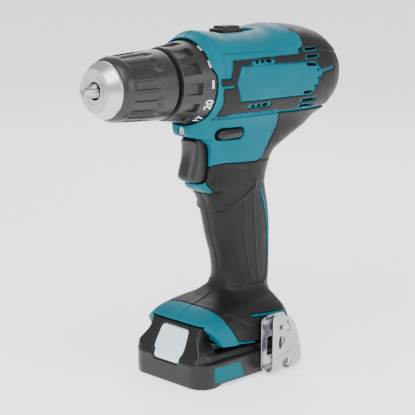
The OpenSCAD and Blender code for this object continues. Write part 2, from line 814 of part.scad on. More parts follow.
module button_spring() color(STEEL) translate([22.5, 0, 27.6]) rotate([0, 90, 0]) coil(2.2, 0.35, 5, 4, 10);

module belt_hook() color(STEEL) {
    y_in = side_y + 0.1;
    y_out = y_in + hook_t + hook_gap;
    bend_r = (hook_gap + 2 * hook_t) / 2;
    difference() {
        union() {
            translate([hook_x - hook_w / 2, y_in, 2 + bend_r]) cube([hook_w, hook_t, 34 - bend_r]);
            translate([hook_x - hook_w / 2, y_out, 2 + bend_r]) cube([hook_w, hook_t, 36 - bend_r]);
            translate([hook_x - hook_w / 2, y_in + bend_r, 2 + bend_r]) rotate([0, 90, 0])
                rotate(90) rotate_extrude_half(bend_r, hook_t, hook_w);
        }
        translate([hook_x, y_in - 1, hook_z + 2]) rotate([-90, 0, 0]) cylinder(h = 4, r = hook_screw_r + 0.2);
        translate([hook_x - 6, y_out - 1, 15]) cube([12, 4, 18]);
        translate([hook_x - 4, y_out - 3, -2]) cube([8, 8, 9]);
    }
}

// Half of a tube that joins the two leaves.
module rotate_extrude_half(r, t, w) {
    intersection() {
        difference() {
            cylinder(h = w, r = r);
            translate([0, 0, -1]) cylinder(h = w + 2, r = r - t);
        }
        translate([-2 * r, -2 * r, -1]) cube([4 * r, 2 * r, w + 2]);
    }
}

module hook_screw() color(STEEL) translate([hook_x, 0, hook_z + 2]) {
    translate([0, side_y + 0.1 + hook_t, 0]) rotate([-90, 0, 0]) cylinder(h = 2.2, r = 3.6);
    translate([0, side_y - 6.4, 0]) rotate([-90, 0, 0]) cylinder(h = 8.2, r = hook_screw_r);
}

module hook_inserts() color(BRASS) for (s = [-1, 1])
    translate([hook_x, s * (side_y - 3.5), hook_z + 2]) rotate([90, 0, 0]) difference() {
        cylinder(h = 7, r = insert_r, center = true);
        cylinder(h = 9, r = hook_screw_r, center = true);
    }

housing_left();
housing_right();
grip_left();
grip_right();
housing_screws();
gear_case();
motor_bracket();
spindle_bearing();
clutch_spring();
spring_plate();
clutch_balls();
clutch_ring_gear();
first_ring_gear();
motor_can();
motor_magnets();
brush_holder();
carbon_brushes();
motor_bearings();
switch_body();
trigger_spring();
battery_terminals();
led_lamp();
belt_hook();
hook_screw();
hook_inserts();
motor_leads();
torque_ring();
speed_knob();
shift_ring_gear();
shift_fork();
direction_lever();
trigger();
spindle();
chuck_body();
chuck_sleeve();
chuck_nut();
jaw(0);  // jaw_1
jaw(1);  // jaw_2
jaw(2);  // jaw_3
third_carrier();
third_planet(0);  // third_planet_1
third_planet(1);  // third_planet_2
third_planet(2);  // third_planet_3
second_carrier();
second_planet(0);  // second_planet_1
second_planet(1);  // second_planet_2
second_planet(2);  // second_planet_3
first_carrier();
first_planet(0);  // first_planet_1
first_planet(1);  // first_planet_2
first_planet(2);  // first_planet_3
rotor_core();
rotor_shaft();
motor_pinion();
motor_fan();
battery_case();
battery_cover();
battery_cells();
battery_button();
button_spring();
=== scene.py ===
"""Looks of the cordless drill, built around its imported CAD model.

Shells are modelled as distance fields on a grid and meshed, turned parts are lathed, and every
surface gets a procedural material. Lengths are in millimetres until a mesh is made.
"""

import math

import bmesh
import bpy
import numpy as np
import openvdb
from mathutils import Matrix, Vector


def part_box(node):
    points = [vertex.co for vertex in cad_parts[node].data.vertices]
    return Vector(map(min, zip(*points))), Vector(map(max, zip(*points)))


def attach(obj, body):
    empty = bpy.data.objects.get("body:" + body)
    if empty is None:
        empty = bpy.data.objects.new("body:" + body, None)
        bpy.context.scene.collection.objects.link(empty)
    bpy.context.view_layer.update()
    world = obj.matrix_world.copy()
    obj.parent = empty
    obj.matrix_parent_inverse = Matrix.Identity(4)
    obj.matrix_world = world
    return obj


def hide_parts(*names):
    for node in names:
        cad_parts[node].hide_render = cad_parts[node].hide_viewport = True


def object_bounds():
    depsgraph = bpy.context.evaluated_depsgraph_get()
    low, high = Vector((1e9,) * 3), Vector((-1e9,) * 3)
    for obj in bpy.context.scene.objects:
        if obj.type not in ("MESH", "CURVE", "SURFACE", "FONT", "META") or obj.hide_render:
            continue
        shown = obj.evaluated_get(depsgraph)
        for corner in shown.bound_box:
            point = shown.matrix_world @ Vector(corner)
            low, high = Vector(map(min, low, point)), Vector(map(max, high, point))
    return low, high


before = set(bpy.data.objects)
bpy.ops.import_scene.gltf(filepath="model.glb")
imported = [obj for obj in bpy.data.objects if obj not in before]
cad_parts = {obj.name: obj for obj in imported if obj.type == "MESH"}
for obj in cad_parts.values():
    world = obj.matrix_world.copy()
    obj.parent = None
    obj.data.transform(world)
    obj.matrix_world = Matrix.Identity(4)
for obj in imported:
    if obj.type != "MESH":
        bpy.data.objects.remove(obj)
cad_low, cad_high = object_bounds()
MM = 0.001


def span(node):
    """Lowest and highest corner of a CAD node in millimetres."""
    low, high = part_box(node)
    return np.array(low) / MM, np.array(high) / MM


RING_LOW, RING_HIGH = span("torque_ring")
SLEEVE_LOW, SLEEVE_HIGH = span("chuck_sleeve")
PACK_HIGH = span("battery_case")[1]
COVER_LOW, COVER_HIGH = span("battery_cover")
HOOK_LOW, HOOK_HIGH = span("belt_hook")
KNOB_LOW, KNOB_HIGH = span("speed_knob")
LEVER_LOW, LEVER_HIGH = span("direction_lever")
TRIGGER_LOW, TRIGGER_HIGH = span("trigger")
LAMP_LOW, LAMP_HIGH = span("led_lamp")
SHELL_LOW = span("housing_left")[0]
AXIS_Z = (SLEEVE_LOW[2] + SLEEVE_HIGH[2]) / 2
FOOT_Z = PACK_HIGH[2] + 5.2
INSERT_Z = 29.0

# ---------- materials ----------


def node_material(name):
    material = bpy.data.materials.new(name)
    material.use_nodes = True
    nodes = material.node_tree.nodes
    return material, nodes, material.node_tree.links, nodes["Principled BSDF"]


def noise(nodes, links, scale, detail=3.0, stretch=(1, 1, 1)):
    """Noise in the piece's own coordinates; scale is in features per metre."""
    place = nodes.new("ShaderNodeTexCoord")
    mapping = nodes.new("ShaderNodeMapping")
    mapping.inputs["Scale"].default_value = stretch
    texture = nodes.new("ShaderNodeTexNoise")
    texture.inputs["Scale"].default_value = scale
    texture.inputs["Detail"].default_value = detail
    links.new(place.outputs["Object"], mapping.inputs["Vector"])
    links.new(mapping.outputs["Vector"], texture.inputs["Vector"])
    return texture


def ramp(nodes, links, source, low, high, start=0.35, end=0.65):
    """Two colours, mixed by a noise."""
    colours = nodes.new("ShaderNodeValToRGB")
    colours.color_ramp.elements[0].position = start
    colours.color_ramp.elements[0].color = (*low, 1)
    colours.color_ramp.elements[1].position = end
    colours.color_ramp.elements[1].color = (*high, 1)
    links.new(source.outputs["Fac"], colours.inputs["Fac"])
    return colours


def level(nodes, links, source, low, high):
    """A number between low and high, set by a noise."""
    scale = nodes.new("ShaderNodeMapRange")
    scale.inputs["From Min"].default_value = 0.3
    scale.inputs["From Max"].default_value = 0.7
    scale.inputs["To Min"].default_value = low
    scale.inputs["To Max"].default_value = high
    links.new(source.outputs["Fac"], scale.inputs["Value"])
    return scale


def bump(nodes, links, source, shader, strength, depth):
    relief = nodes.new("ShaderNodeBump")
    relief.inputs["Strength"].default_value = strength
    relief.inputs["Distance"].default_value = depth
    links.new(source.outputs["Fac"], relief.inputs["Height"])
    links.new(relief.outputs["Normal"], shader.inputs["Normal"])


def plastic(name, colour, rough=(0.35, 0.45), grain=2200, grain_strength=0.25, grain_depth=0.00006,
            tint=0.06, specular=0.5):
    """Moulded plastic or rubber: a fine spark-eroded grain, uneven gloss and a faint drift in colour."""
    material, nodes, links, shader = node_material(name)
    cloud = noise(nodes, links, 60)
    low = tuple(c * (1 - tint) for c in colour)
    high = tuple(min(1.0, c * (1 + tint)) for c in colour)
    links.new(ramp(nodes, links, cloud, low, high).outputs["Color"], shader.inputs["Base Color"])
    smear = noise(nodes, links, 180)
    links.new(level(nodes, links, smear, *rough).outputs["Result"], shader.inputs["Roughness"])
    bump(nodes, links, noise(nodes, links, grain, 2), shader, grain_strength, grain_depth)
    shader.inputs["Specular IOR Level"].default_value = specular
    return material


def metal(name, colour, rough=(0.2, 0.34), stretch=(1, 1, 1), scale=900, strength=0.12, depth=0.00003,
          tint=0.07):
    """Machined or stamped metal: noise drawn out along the way that it was cut."""
    material, nodes, links, shader = node_material(name)
    cloud = noise(nodes, links, 90)
    low = tuple(c * (1 - tint) for c in colour)
    high = tuple(min(1.0, c * (1 + tint)) for c in colour)
    links.new(ramp(nodes, links, cloud, low, high).outputs["Color"], shader.inputs["Base Color"])
    marks = noise(nodes, links, scale, 3, stretch)
    links.new(level(nodes, links, marks, *rough).outputs["Result"], shader.inputs["Roughness"])
    bump(nodes, links, marks, shader, strength, depth)
    shader.inputs["Metallic"].default_value = 1.0
    return material


def turned_metal(name, colour, rough=(0.16, 0.3), rings=5200, strength=0.1, depth=0.00002):
    """Metal turned on a lathe round the chuck axis: marks run round it, finer than the eye can count."""
    material, nodes, links, shader = node_material(name)
    place = nodes.new("ShaderNodeTexCoord")
    split = nodes.new("ShaderNodeSeparateXYZ")
    links.new(place.outputs["Object"], split.inputs["Vector"])
    rise = nodes.new("ShaderNodeMath")
    rise.operation = "SUBTRACT"
    rise.inputs[1].default_value = AXIS_Z * MM
    links.new(split.outputs["Z"], rise.inputs[0])
    flat = nodes.new("ShaderNodeCombineXYZ")
    links.new(split.outputs["Y"], flat.inputs["X"])
    links.new(rise.outputs["Value"], flat.inputs["Y"])
    radius = nodes.new("ShaderNodeVectorMath")
    radius.operation = "LENGTH"
    links.new(flat.outputs["Vector"], radius.inputs[0])
    lathe = nodes.new("ShaderNodeCombineXYZ")
    links.new(split.outputs["X"], lathe.inputs["X"])
    links.new(radius.outputs["Value"], lathe.inputs["Y"])
    marks = nodes.new("ShaderNodeTexNoise")
    marks.inputs["Scale"].default_value = rings
    marks.inputs["Detail"].default_value = 2
    links.new(lathe.outputs["Vector"], marks.inputs["Vector"])
    cloud = noise(nodes, links, 140)
    low = tuple(c * 0.93 for c in colour)
    links.new(ramp(nodes, links, cloud, low, colour).outputs["Color"], shader.inputs["Base Color"])
    links.new(level(nodes, links, marks, *rough).outputs["Result"], shader.inputs["Roughness"])
    bump(nodes, links, marks, shader, strength, depth)
    shader.inputs["Metallic"].default_value = 1.0
    return material


def wound_wire(name):
    """Enamelled copper wire laid side by side."""
    material, nodes, links, shader = node_material(name)
    place = nodes.new("ShaderNodeTexCoord")
    wires = nodes.new("ShaderNodeTexWave")
    wires.inputs["Scale"].default_value = 420
    wires.inputs["Distortion"].default_value = 1.5
    links.new(place.outputs["Object"], wires.inputs["Vector"])
    links.new(ramp(nodes, links, wires, (0.25, 0.08, 0.03), (0.72, 0.3, 0.13)).outputs["Color"],
              shader.inputs["Base Color"])
    links.new(level(nodes, links, noise(nodes, links, 400), 0.25, 0.4).outputs["Result"],
              shader.inputs["Roughness"])
    bump(nodes, links, wires, shader, 0.4, 0.0002)
    shader.inputs["Metallic"].default_value = 0.7
    return material


def lens(name):
    """Clear plastic with a little dust on it."""
    material, nodes, links, shader = node_material(name)
    shader.inputs["Transmission Weight"].default_value = 0.6
    shader.inputs["IOR"].default_value = 1.49
    dust = noise(nodes, links, 900)
    links.new(level(nodes, links, dust, 0.05, 0.14).outputs["Result"], shader.inputs["Roughness"])
    cloud = noise(nodes, links, 300)
    links.new(ramp(nodes, links, cloud, (0.75, 0.82, 0.9), (0.95, 0.97, 1)).outputs["Color"],
              shader.inputs["Base Color"])
    return material


TEAL = plastic("teal_plastic", (0.0, 0.11, 0.152), (0.34, 0.44), 2600, 0.14, specular=0.09)
SKIN = plastic("soft_grip", (0.0072, 0.007, 0.007), (0.4, 0.52), 1500, 0.4, 0.00008, 0.1, specular=0.2)
BLACK = plastic("black_plastic", (0.005, 0.005, 0.0053), (0.3, 0.42), 2000, 0.25, specular=0.35)
CHUCK_BLACK = plastic("chuck_plastic", (0.014, 0.014, 0.0143), (0.3, 0.4), 2400, 0.25, specular=0.4)
BUTTON = plastic("button_plastic", (0.62, 0.74, 0.84), (0.25, 0.35), 2400, 0.1, tint=0.03)
PRINT = plastic("print_white", (0.75, 0.75, 0.75), (0.5, 0.6), 2600, 0.1, tint=0.04)
LABEL = plastic("label_teal", (0.0, 0.1, 0.13), (0.36, 0.44), 1800, 0.08, specular=0.1)
NOSE_STEEL = turned_metal("nose_steel", (0.55, 0.565, 0.59), (0.24, 0.38))
JAW_STEEL = metal("jaw_steel", (0.42, 0.43, 0.45), (0.22, 0.36), (8, 60, 60), 60)
HOOK_STEEL = metal("hook_steel", (0.36, 0.37, 0.385), (0.14, 0.26), (3, 3, 40), 300, 0.1)
BRIGHT_STEEL = turned_metal("bright_steel", (0.6, 0.61, 0.63))
GEAR_STEEL = metal("gear_steel", (0.34, 0.35, 0.36), (0.3, 0.45), (20, 4, 4), 300)
CAN_STEEL = metal("can_steel", (0.42, 0.43, 0.45), (0.28, 0.4), (4, 30, 30), 90)
SCREW_STEEL = metal("screw_steel", (0.1, 0.1, 0.11), (0.35, 0.5), (6, 6, 6), 300)
BRONZE = metal("bronze", (0.62, 0.42, 0.16), (0.35, 0.5), (5, 5, 5), 500, 0.2)
COPPER = wound_wire("windings")
MAGNET = plastic("magnet", (0.03, 0.03, 0.034), (0.6, 0.75), 1200, 0.5)
CELL = plastic("cell_wrap", (0.05, 0.16, 0.1), (0.22, 0.3), 600, 0.06)
LEAD = plastic("lead_jacket", (0.42, 0.02, 0.02), (0.35, 0.45), 2000, 0.15)
LENS = lens("lamp_lens")

NODE_MATERIALS = {
    "gear_case": BLACK, "brush_holder": BLACK, "switch_body": BLACK, "battery_terminals": BLACK,
    "motor_fan": BLACK, "spindle": BRIGHT_STEEL, "spindle_bearing": BRIGHT_STEEL,
    "clutch_balls": BRIGHT_STEEL, "spring_plate": BRIGHT_STEEL, "clutch_spring": BRIGHT_STEEL,
    "trigger_spring": BRIGHT_STEEL, "button_spring": BRIGHT_STEEL, "shift_fork": BRIGHT_STEEL,
    "rotor_shaft": BRIGHT_STEEL, "clutch_ring_gear": GEAR_STEEL, "first_ring_gear": GEAR_STEEL,
    "shift_ring_gear": GEAR_STEEL, "motor_can": CAN_STEEL, "motor_bracket": CAN_STEEL,
    "motor_pinion": GEAR_STEEL, "housing_screws": SCREW_STEEL, "rotor_core": COPPER,
    "chuck_nut": BRONZE, "motor_bearings": BRONZE, "hook_inserts": BRONZE, "battery_cells": CELL,
    "motor_magnets": MAGNET, "carbon_brushes": MAGNET, "motor_leads": LEAD, "hook_screw": SCREW_STEEL,
    "chuck_body": NOSE_STEEL, "jaw_1": JAW_STEEL, "jaw_2": JAW_STEEL, "jaw_3": JAW_STEEL, "led_lamp": LENS,
}
for name, cad_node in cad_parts.items():
    finish = NODE_MATERIALS.get(name, GEAR_STEEL)
    cad_node.data.materials.clear()
    cad_node.data.materials.append(finish)

# ---------- distance fields ----------


class Grid:
    """A regular grid of points; fields on it are distances, negative inside."""

    def __init__(self, low, high, step):
        self.low = np.array(low, float)
        self.step = step
        axes = [np.arange(a, b + step, step, dtype=np.float32) for a, b in zip(low, high)]
        self.x = axes[0][:, None, None]
        self.y = axes[1][None, :, None]
        self.z = axes[2][None, None, :]
        self.shape = tuple(len(a) for a in axes)


def smin(a, b, k):
    """Union with a fillet of about k."""
    h = np.clip(0.5 + 0.5 * (b - a) / k, 0, 1)
    return b * (1 - h) + a * h - k * h * (1 - h)


def smax(a, b, k):
    """Common part of two solids with its edges rounded by about k."""
    return -smin(-a, -b, k)


def union(*fields):
    """Union with sharp edges."""
    joined = fields[0]
    for field in fields[1:]:
        joined = np.minimum(joined, field)
    return joined


def meet(*fields):
    """Common part with sharp edges."""
    joined = fields[0]
    for field in fields[1:]:
        joined = np.maximum(joined, field)
    return joined


def bar(u, v, r):
    """A round bar along the third axis."""
    return np.sqrt(u**2 + v**2) - r


def smooth(value, start, end):
    """0 at start, 1 at end, easing both ways."""
    t = np.clip((value - start) / (end - start), 0, 1)
    return t * t * (3 - 2 * t)


def polygon(u, v, points):
    """Distance to the edge of a closed outline in the plane of u and v."""
    nearest = None
    inside = None
    for (au, av), (bu, bv) in zip(points, points[1:] + points[:1]):
        eu, ev = bu - au, bv - av
        wu, wv = u - au, v - av
        t = np.clip((wu * eu + wv * ev) / (eu * eu + ev * ev), 0, 1)
        square = (wu - t * eu) ** 2 + (wv - t * ev) ** 2
        nearest = square if nearest is None else np.minimum(nearest, square)
        up = (av <= v) & (bv > v)
        down = (av > v) & (bv <= v)
        cross = eu * wv - wu * ev
        flip = (up & (cross > 0)) | (down & (cross < 0))
        inside = flip if inside is None else inside ^ flip
    return np.where(inside, -1, 1) * np.sqrt(nearest)


def polyline(u, v, points):
    """Distance to an open line."""
    best = None
    for (au, av), (bu, bv) in zip(points, points[1:]):
        eu, ev = bu - au, bv - av
        t = np.clip(((u - au) * eu + (v - av) * ev) / (eu * eu + ev * ev), 0, 1)
        d = np.sqrt((u - au - t * eu) ** 2 + (v - av - t * ev) ** 2)
        best = d if best is None else np.minimum(best, d)
    return best


def rounded(points, times=2, reach=3.0):
    """The outline with its corners cut, again and again; the first cut starts at most reach from a corner."""
    for _ in range(times):
        cut = []
        for (au, av), (bu, bv) in zip(points, points[1:] + points[:1]):
            t = min(0.25, reach / max(math.hypot(bu - au, bv - av), 0.01))
            cut += [(au + t * (bu - au), av + t * (bv - av)), (bu - t * (bu - au), bv - t * (bv - av))]
        points = cut
        reach /= 3
    return points


def pill(u, v, u0, u1, v0, v1, slope=0.0):
    """A slot with round ends from u0 to u1 and v0 to v1; slope tilts it."""
    r = (v1 - v0) / 2
    cu = np.clip(u, u0 + r, u1 - r)
    cv = (v0 + v1) / 2 + slope * (cu - (u0 + u1) / 2)
    return np.sqrt((u - cu) ** 2 + (v - cv) ** 2) - r


def brick(u, v, w, low, high, r=0.0):
    """A box with edges rounded by r."""
    parts = []
    for value, a, b in zip((u, v, w), low, high):
        parts.append(np.abs(value - (a + b) / 2) - ((b - a) / 2 - r))
    outside = np.sqrt(sum(np.maximum(p, 0) ** 2 for p in parts))
    return outside + np.minimum(np.maximum(np.maximum(parts[0], parts[1]), parts[2]), 0) - r


def true_distance(field, step):
    """Scales a field so that it changes by one per millimetre near its surface."""
    slope = np.zeros(field.shape, np.float32)
    for axis in range(3):
        slope += np.gradient(field, step, axis=axis) ** 2
    return field / np.clip(np.sqrt(slope), 0.4, 2.5)


def monotone(table, column, at):
    """Smooth curve through one column of a table of rings, with no overshoot."""
    rows = sorted(table)
    xs = np.array([r[0] for r in rows], float)
    ys = np.array([r[column] for r in rows], float)
    h = np.diff(xs)
    d = np.diff(ys) / h
    m = np.zeros(len(xs))
    m[0], m[-1] = d[0], d[-1]
    same = d[:-1] * d[1:] > 0
    w1, w2 = 2 * h[1:] + h[:-1], h[1:] + 2 * h[:-1]
    m[1:-1][same] = (w1 + w2)[same] / (w1[same] / d[:-1][same] + w2[same] / d[1:][same])
    at = np.clip(np.asarray(at, float), xs[0], xs[-1])
    i = np.clip(np.searchsorted(xs, at) - 1, 0, len(h) - 1)
    t = (at - xs[i]) / h[i]
    a, b, c = ys[i], ys[i + 1], h[i]
    value = (a * (2 * t**3 - 3 * t**2 + 1) + c * m[i] * (t**3 - 2 * t**2 + t)
             + b * (3 * t**2 - 2 * t**3) + c * m[i + 1] * (t**3 - t**2))
    return value.astype(np.float32)


def build(name, points, faces, material, body, replaces=(), smooth_faces=True):
    """Makes a piece from a list of points in millimetres, and rides it on its body."""
    mesh = bpy.data.meshes.new(name)
    points = np.ascontiguousarray(np.asarray(points, np.float64) * MM)
    mesh.from_pydata(points, [], faces)
    mesh.validate()
    mesh.update()
    piece = bpy.data.objects.new(name, mesh)
    bpy.context.scene.collection.objects.link(piece)
    mesh.polygons.foreach_set("use_smooth", [smooth_faces] * len(mesh.polygons))
    mesh.materials.append(material)
    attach(piece, body)
    if replaces:
        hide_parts(*replaces)
    return piece


def largest_parts(points, quads, smallest=400):
    """Leaves out specks: parts of the surface with fewer points than smallest."""
    label = np.arange(len(points))
    for _ in range(400):
        low = label[quads].min(1)
        new = label.copy()
        for k in range(4):
            np.minimum.at(new, quads[:, k], low)
        new = new[new]
        if np.array_equal(new, label):
            break
        label = new
    names, counts = np.unique(label, return_counts=True)
    keep_point = np.isin(label, names[counts >= smallest])
    order = np.cumsum(keep_point) - 1
    quads = quads[keep_point[quads[:, 0]]]
    return points[keep_point], order[quads]


def surface(name, grid, field, material, body, replaces=(), mirror=False, speck=400):
    """Meshes the zero level of a field."""
    band = 3 * grid.step
    values = np.ascontiguousarray(np.clip(field, -band, band), dtype=np.float32)
    tree = openvdb.FloatGrid(band)
    tree.copyFromArray(values)
    points, quads = tree.convertToQuads(0.0)
    points = points.astype(np.float64) * grid.step + grid.low
    quads = quads.astype(np.int64)
    points, quads = largest_parts(points, quads, speck)
    a, b, c = (points[quads[:, k]] for k in range(3))
    volume = np.einsum("ij,ij->i", a, np.cross(b, c)).sum()
    if mirror:
        points[:, 1] *= -1
    if (volume < 0) != mirror:
        quads = quads[:, ::-1]
    return build(name, points, quads.tolist(), material, body, replaces)


# ---------- housing and grips ----------

# Rings of the motor barrel: x, reach up, reach down, half width, squareness.
BARREL = [
    (28, 25.6, 25.8, 25.4, 2.0), (24, 27, 26.2, 26, 2.0), (19.5, 29.3, 27, 26.8, 2.05),
    (14, 28.9, 27.6, 27.4, 2.15), (8, 27.8, 28, 27.8, 2.3), (-8, 27.6, 28, 28.2, 2.5),
    (-26, 28.6, 28, 28.4, 2.5), (-36, 30.4, 28, 28.5, 2.5), (-47, 31, 28.5, 28.5, 2.5),
    (-58, 30.2, 28.5, 28.2, 2.4), (-70, 28, 28, 27.2, 2.35), (-77, 25.8, 27.5, 26.2, 2.3),
    (-84, 21.8, 25, 24, 2.2), (-89, 17.5, 20.5, 21.4, 2.2), (-93, 12.5, 14, 18, 2.2),
]
# Level rings of the handle and foot: z, front x, rear x, half width, squareness.
STEM = [
    (166, 30, -84, 22, 3.5), (156, 28, -77, 20.5, 3.5), (147, 22, -70, 19.5, 3.2),
    (140, 17.6, -56, 18.6, 3), (132, 16, -41, 18, 2.8), (124, 16, -36.5, 17.6, 2.7),
    (116, 17.5, -35, 17.4, 2.6), (111, 13.4, -35.6, 17.2, 2.6), (104, 9, -37.6, 16.9, 2.5),
    (96, 6.5, -39.2, 16.6, 2.5), (82, 3, -40.7, 16, 2.5), (68, -1.5, -40.8, 15.5, 2.5),
    (58, -3, -40.2, 15.4, 2.5), (51, -1.5, -39.2, 15.9, 2.5), (46, 8, -38.8, 18.5, 2.7),
    (42, 22.5, -39.6, 24, 3.4), (37, 31.5, -40.5, 29, 4.5), (30, 35, -41, 31, 6), (20, 37, -41, 31, 6),
]
SKIN_T = 1.6
WALL = 2.4
BODY_STEP = 0.45
MIDDLE_GAP = 0.03

body_grid = Grid((-94.5, -0.9, 19.5), (41.5, 33, 211), BODY_STEP)
X, Y, Z = body_grid.x, body_grid.y, body_grid.z


def barrel_field():
    at = X[:, 0, 0]
    up, down, half, power = (monotone(BARREL, c, at)[:, None, None] for c in (1, 2, 3, 4))
    rise = Z - AXIS_Z
    tall = np.where(rise > 0, up, down)
    rho = ((np.abs(Y) / half) ** power + (np.abs(rise) / tall) ** power) ** (1 / power)
    field = np.sqrt(Y**2 + rise**2) * (1 - 1 / np.maximum(rho, 0.05))
    field = smax(field, SHELL_LOW[0] - X, 5.0)
    return smax(field, X - BARREL[0][0] + 0.4 + 3.6 * smooth(AXIS_Z + 12 - Z, 0, 8), 1.2)


def stem_field():
    at = Z[0, 0, :]
    front, rear, half, power = (monotone(STEM, c, at)[None, None, :] for c in (1, 2, 3, 4))
    middle, reach = (front + rear) / 2, (front - rear) / 2
    dx = X - middle
    rho = ((np.abs(dx) / reach) ** power + (np.abs(Y) / half) ** power) ** (1 / power)
    field = np.sqrt(dx**2 + Y**2) * (1 - 1 / np.maximum(rho, 0.05))
    field = np.maximum(field, Z - 168)
    return smax(field, FOOT_Z - Z, 0.6)


def lamp_collar():
    """Chin under the clutch ring, with the lamp in its front face."""
    side = polygon(X, Z, rounded([(4, 160), (24, 158), (29.4, 156.4), (29.6, 150), (28, 146.6), (24, 145),
                                  (16, 144.6), (4, 144.6)], 2))
    half = 14.4 - 6.5 * smooth(X, 17, 31)
    return smax(side, np.abs(Y) - half, 3.4)


def guard_lip():
    """Lip that reaches forward under the trigger."""
    side = polygon(X, Z, rounded([(0, 124), (14, 120), (19.4, 118.2), (20.2, 116.6), (18, 114), (12, 112.6),
                                  (0, 113)], 2))
    half = 13.6 - 6.4 * smooth(X, 6, 21)
    return smax(side, np.abs(Y) - half, 2.4)


outside = smin(barrel_field(), stem_field(), 6.0)
outside = true_distance(outside, BODY_STEP)
outside = smin(outside, lamp_collar(), 3.0)
outside = smin(outside, guard_lip(), 2.5)
outside = true_distance(outside, BODY_STEP)

# Side view outlines, x and z. The hard shell shows between the soft skin's areas.
HOOD_REAR = [(-41, 220), (-44.5, 206), (-48, 202), (-47.6, 197.5), (-44.4, 194.2)]
UPPER_SKIN = HOOD_REAR + [
    (-43.6, 192.1), (10.7, 191.3), (14.2, 181), (22.4, 181.2), (21.6, 177.3), (11.6, 177.1), (11.6, 175.8),
    (20.6, 175.6), (18.8, 171), (17.6, 166), (18.6, 158.4), (12.4, 158), (8.4, 159.3), (-30.6, 158.8),
    (-33, 150), (-26, 137.5), (-20.6, 129.8), (-16, 128.9), (7.4, 130), (13, 128.6), (17, 123.8), (16.2, 117),
    (12, 111.6), (60, 105), (60, 60), (-120, 60), (-120, 220),
]
PANEL = [(4.9, 187.1), (-58.2, 186.3), (-65.3, 179.5), (-56.3, 166.6), (4.6, 167.1), (9.2, 178)]
STRIPE = [(-64.6, 179.4), (-77, 180.9), (-77, 182.2), (-64.6, 180.5)]
FOOT_SKIN = [(-120, 60.5), (60, 60.5), (60, 48.5), (18.8, 48.5), (18.6, 41.4), (18, 36.6), (16, 34.8),
             (9.1, 24.2), (-8, 21.4), (-120, 20.4)]
HOOK_LIP = [(-4, 38.2), (-36, 35.4), (-38.5, 32), (-37, 32.6), (-34, 33.8), (-4, 36.8)]

# Stripe up the back of the handle: z, distance in front of the handle's back, half width.
STRIPE_ROWS = [(115, 12.8, 0.2), (110, 12.0, 1.1), (102, 10.8, 1.5), (92, 9.6, 1.2), (80, 8.8, 1.0),
               (66, 7.0, 1.1), (56, 5.6, 1.2), (48, 4.6, 0.9)]

panel_d = polygon(X, Z, PANEL)
upper_d = polygon(X, Z, UPPER_SKIN)
stem_rear = monotone(STEM, 2, Z[0, 0, :])[None, None, :]
stripe_in = X - stem_rear
stripe_mid = monotone(STRIPE_ROWS, 1, Z[0, 0, :])[None, None, :]
stripe_width = monotone(STRIPE_ROWS, 2, Z[0, 0, :])[None, None, :]
handle_stripe = np.maximum(np.abs(stripe_in - stripe_mid) - stripe_width, np.maximum(Z - 115, 48.5 - Z))
foot_line = 5.4 + 0.0115 * np.minimum(np.abs(Y), 31) ** 2
foot_skin = polygon(X, Z, FOOT_SKIN)
foot_top = np.maximum(X - foot_line, 36.5 - Z)
foot_skin = smin(foot_skin, np.maximum(foot_top, Z - 62), 1.0)

# How far a point is from the soft skin, seen from the side: negative where the skin covers the shell.
soft = union(meet(upper_d, -panel_d, -polygon(X, Z, STRIPE)), foot_skin)
soft = meet(soft, -meet(handle_stripe, 4 - Y), -meet(polygon(X, Z, HOOK_LIP), 18 - np.abs(Y)))

# Relief of the sides: how far the surface sits below the plain form.
HOOD_STEP = 1.1
under_hood = polygon(X, Z, [(17.6, 195.4), (-44, 195.0), (-48.4, 196.5), (-48.8, 201.5), (-44.6, 207),
                            (-41, 222), (-120, 222), (-120, 155), (-30, 157), (21.6, 157), (19.4, 181.4)])
relief = HOOD_STEP * smooth(-under_hood, -0.25, 0.35)
rear_roof = polygon(X, Z, [(-44, 222), (-46, 196), (-60, 193.6), (-80, 190.6), (-120, 190), (-120, 222)])
relief = relief - 0.55 * smooth(-rear_roof, -0.3, 0.4)
relief = relief - 0.45 * smooth(-panel_d, 0.1, 0.9)
front_tab = polygon(X, Z, [(22.6, 181.2), (13.6, 181.2), (11.4, 175.4), (21.6, 175.2)])
relief = relief - 0.5 * smooth(-front_tab, -0.2, 0.4)
below_bar = polygon(X, Z, [(-28, 158.6), (-95, 157.6), (-95, 128), (-22, 128)])
relief = relief + 0.6 * smooth(-below_bar, -0.2, 0.8) * smooth(Y, 8, 16)

# Thumb pad, ribbed side panel and seams of the handle.
THUMB = [(12, 131), (-4, 126.6), (-9.4, 125.8), (-16.2, 117.8), (-16.8, 113.6), (-8, 108.6), (8.6, 101),
         (12.4, 104)]
PALM = [(9.6, 97.6), (-8, 107.4), (-16.8, 112.4), (-24.5, 108), (-31.5, 80), (-30.5, 55), (-26.5, 51.6),
        (-5.7, 53.2), (-1.4, 56.4), (5.7, 75.8)]
thumb_d = polygon(X, Z, THUMB)
palm_d = polygon(X, Z, PALM)
on_side = smooth(Y, 4, 9)
relief = relief + on_side * 0.7 * smooth(-thumb_d, -0.4, 1.6) * smooth(Z, 97, 112)
relief = relief + on_side * 0.55 * smooth(-palm_d, -0.2, 0.7)
palm_lines = [[(0.8, 101.6), (-2.1, 85.9), (-13.2, 51)], [(-8.3, 107.2), (-10.1, 84.6), (-17.6, 51)],
              [(-15.5, 111), (-18.4, 86.8), (-23.4, 51)]]

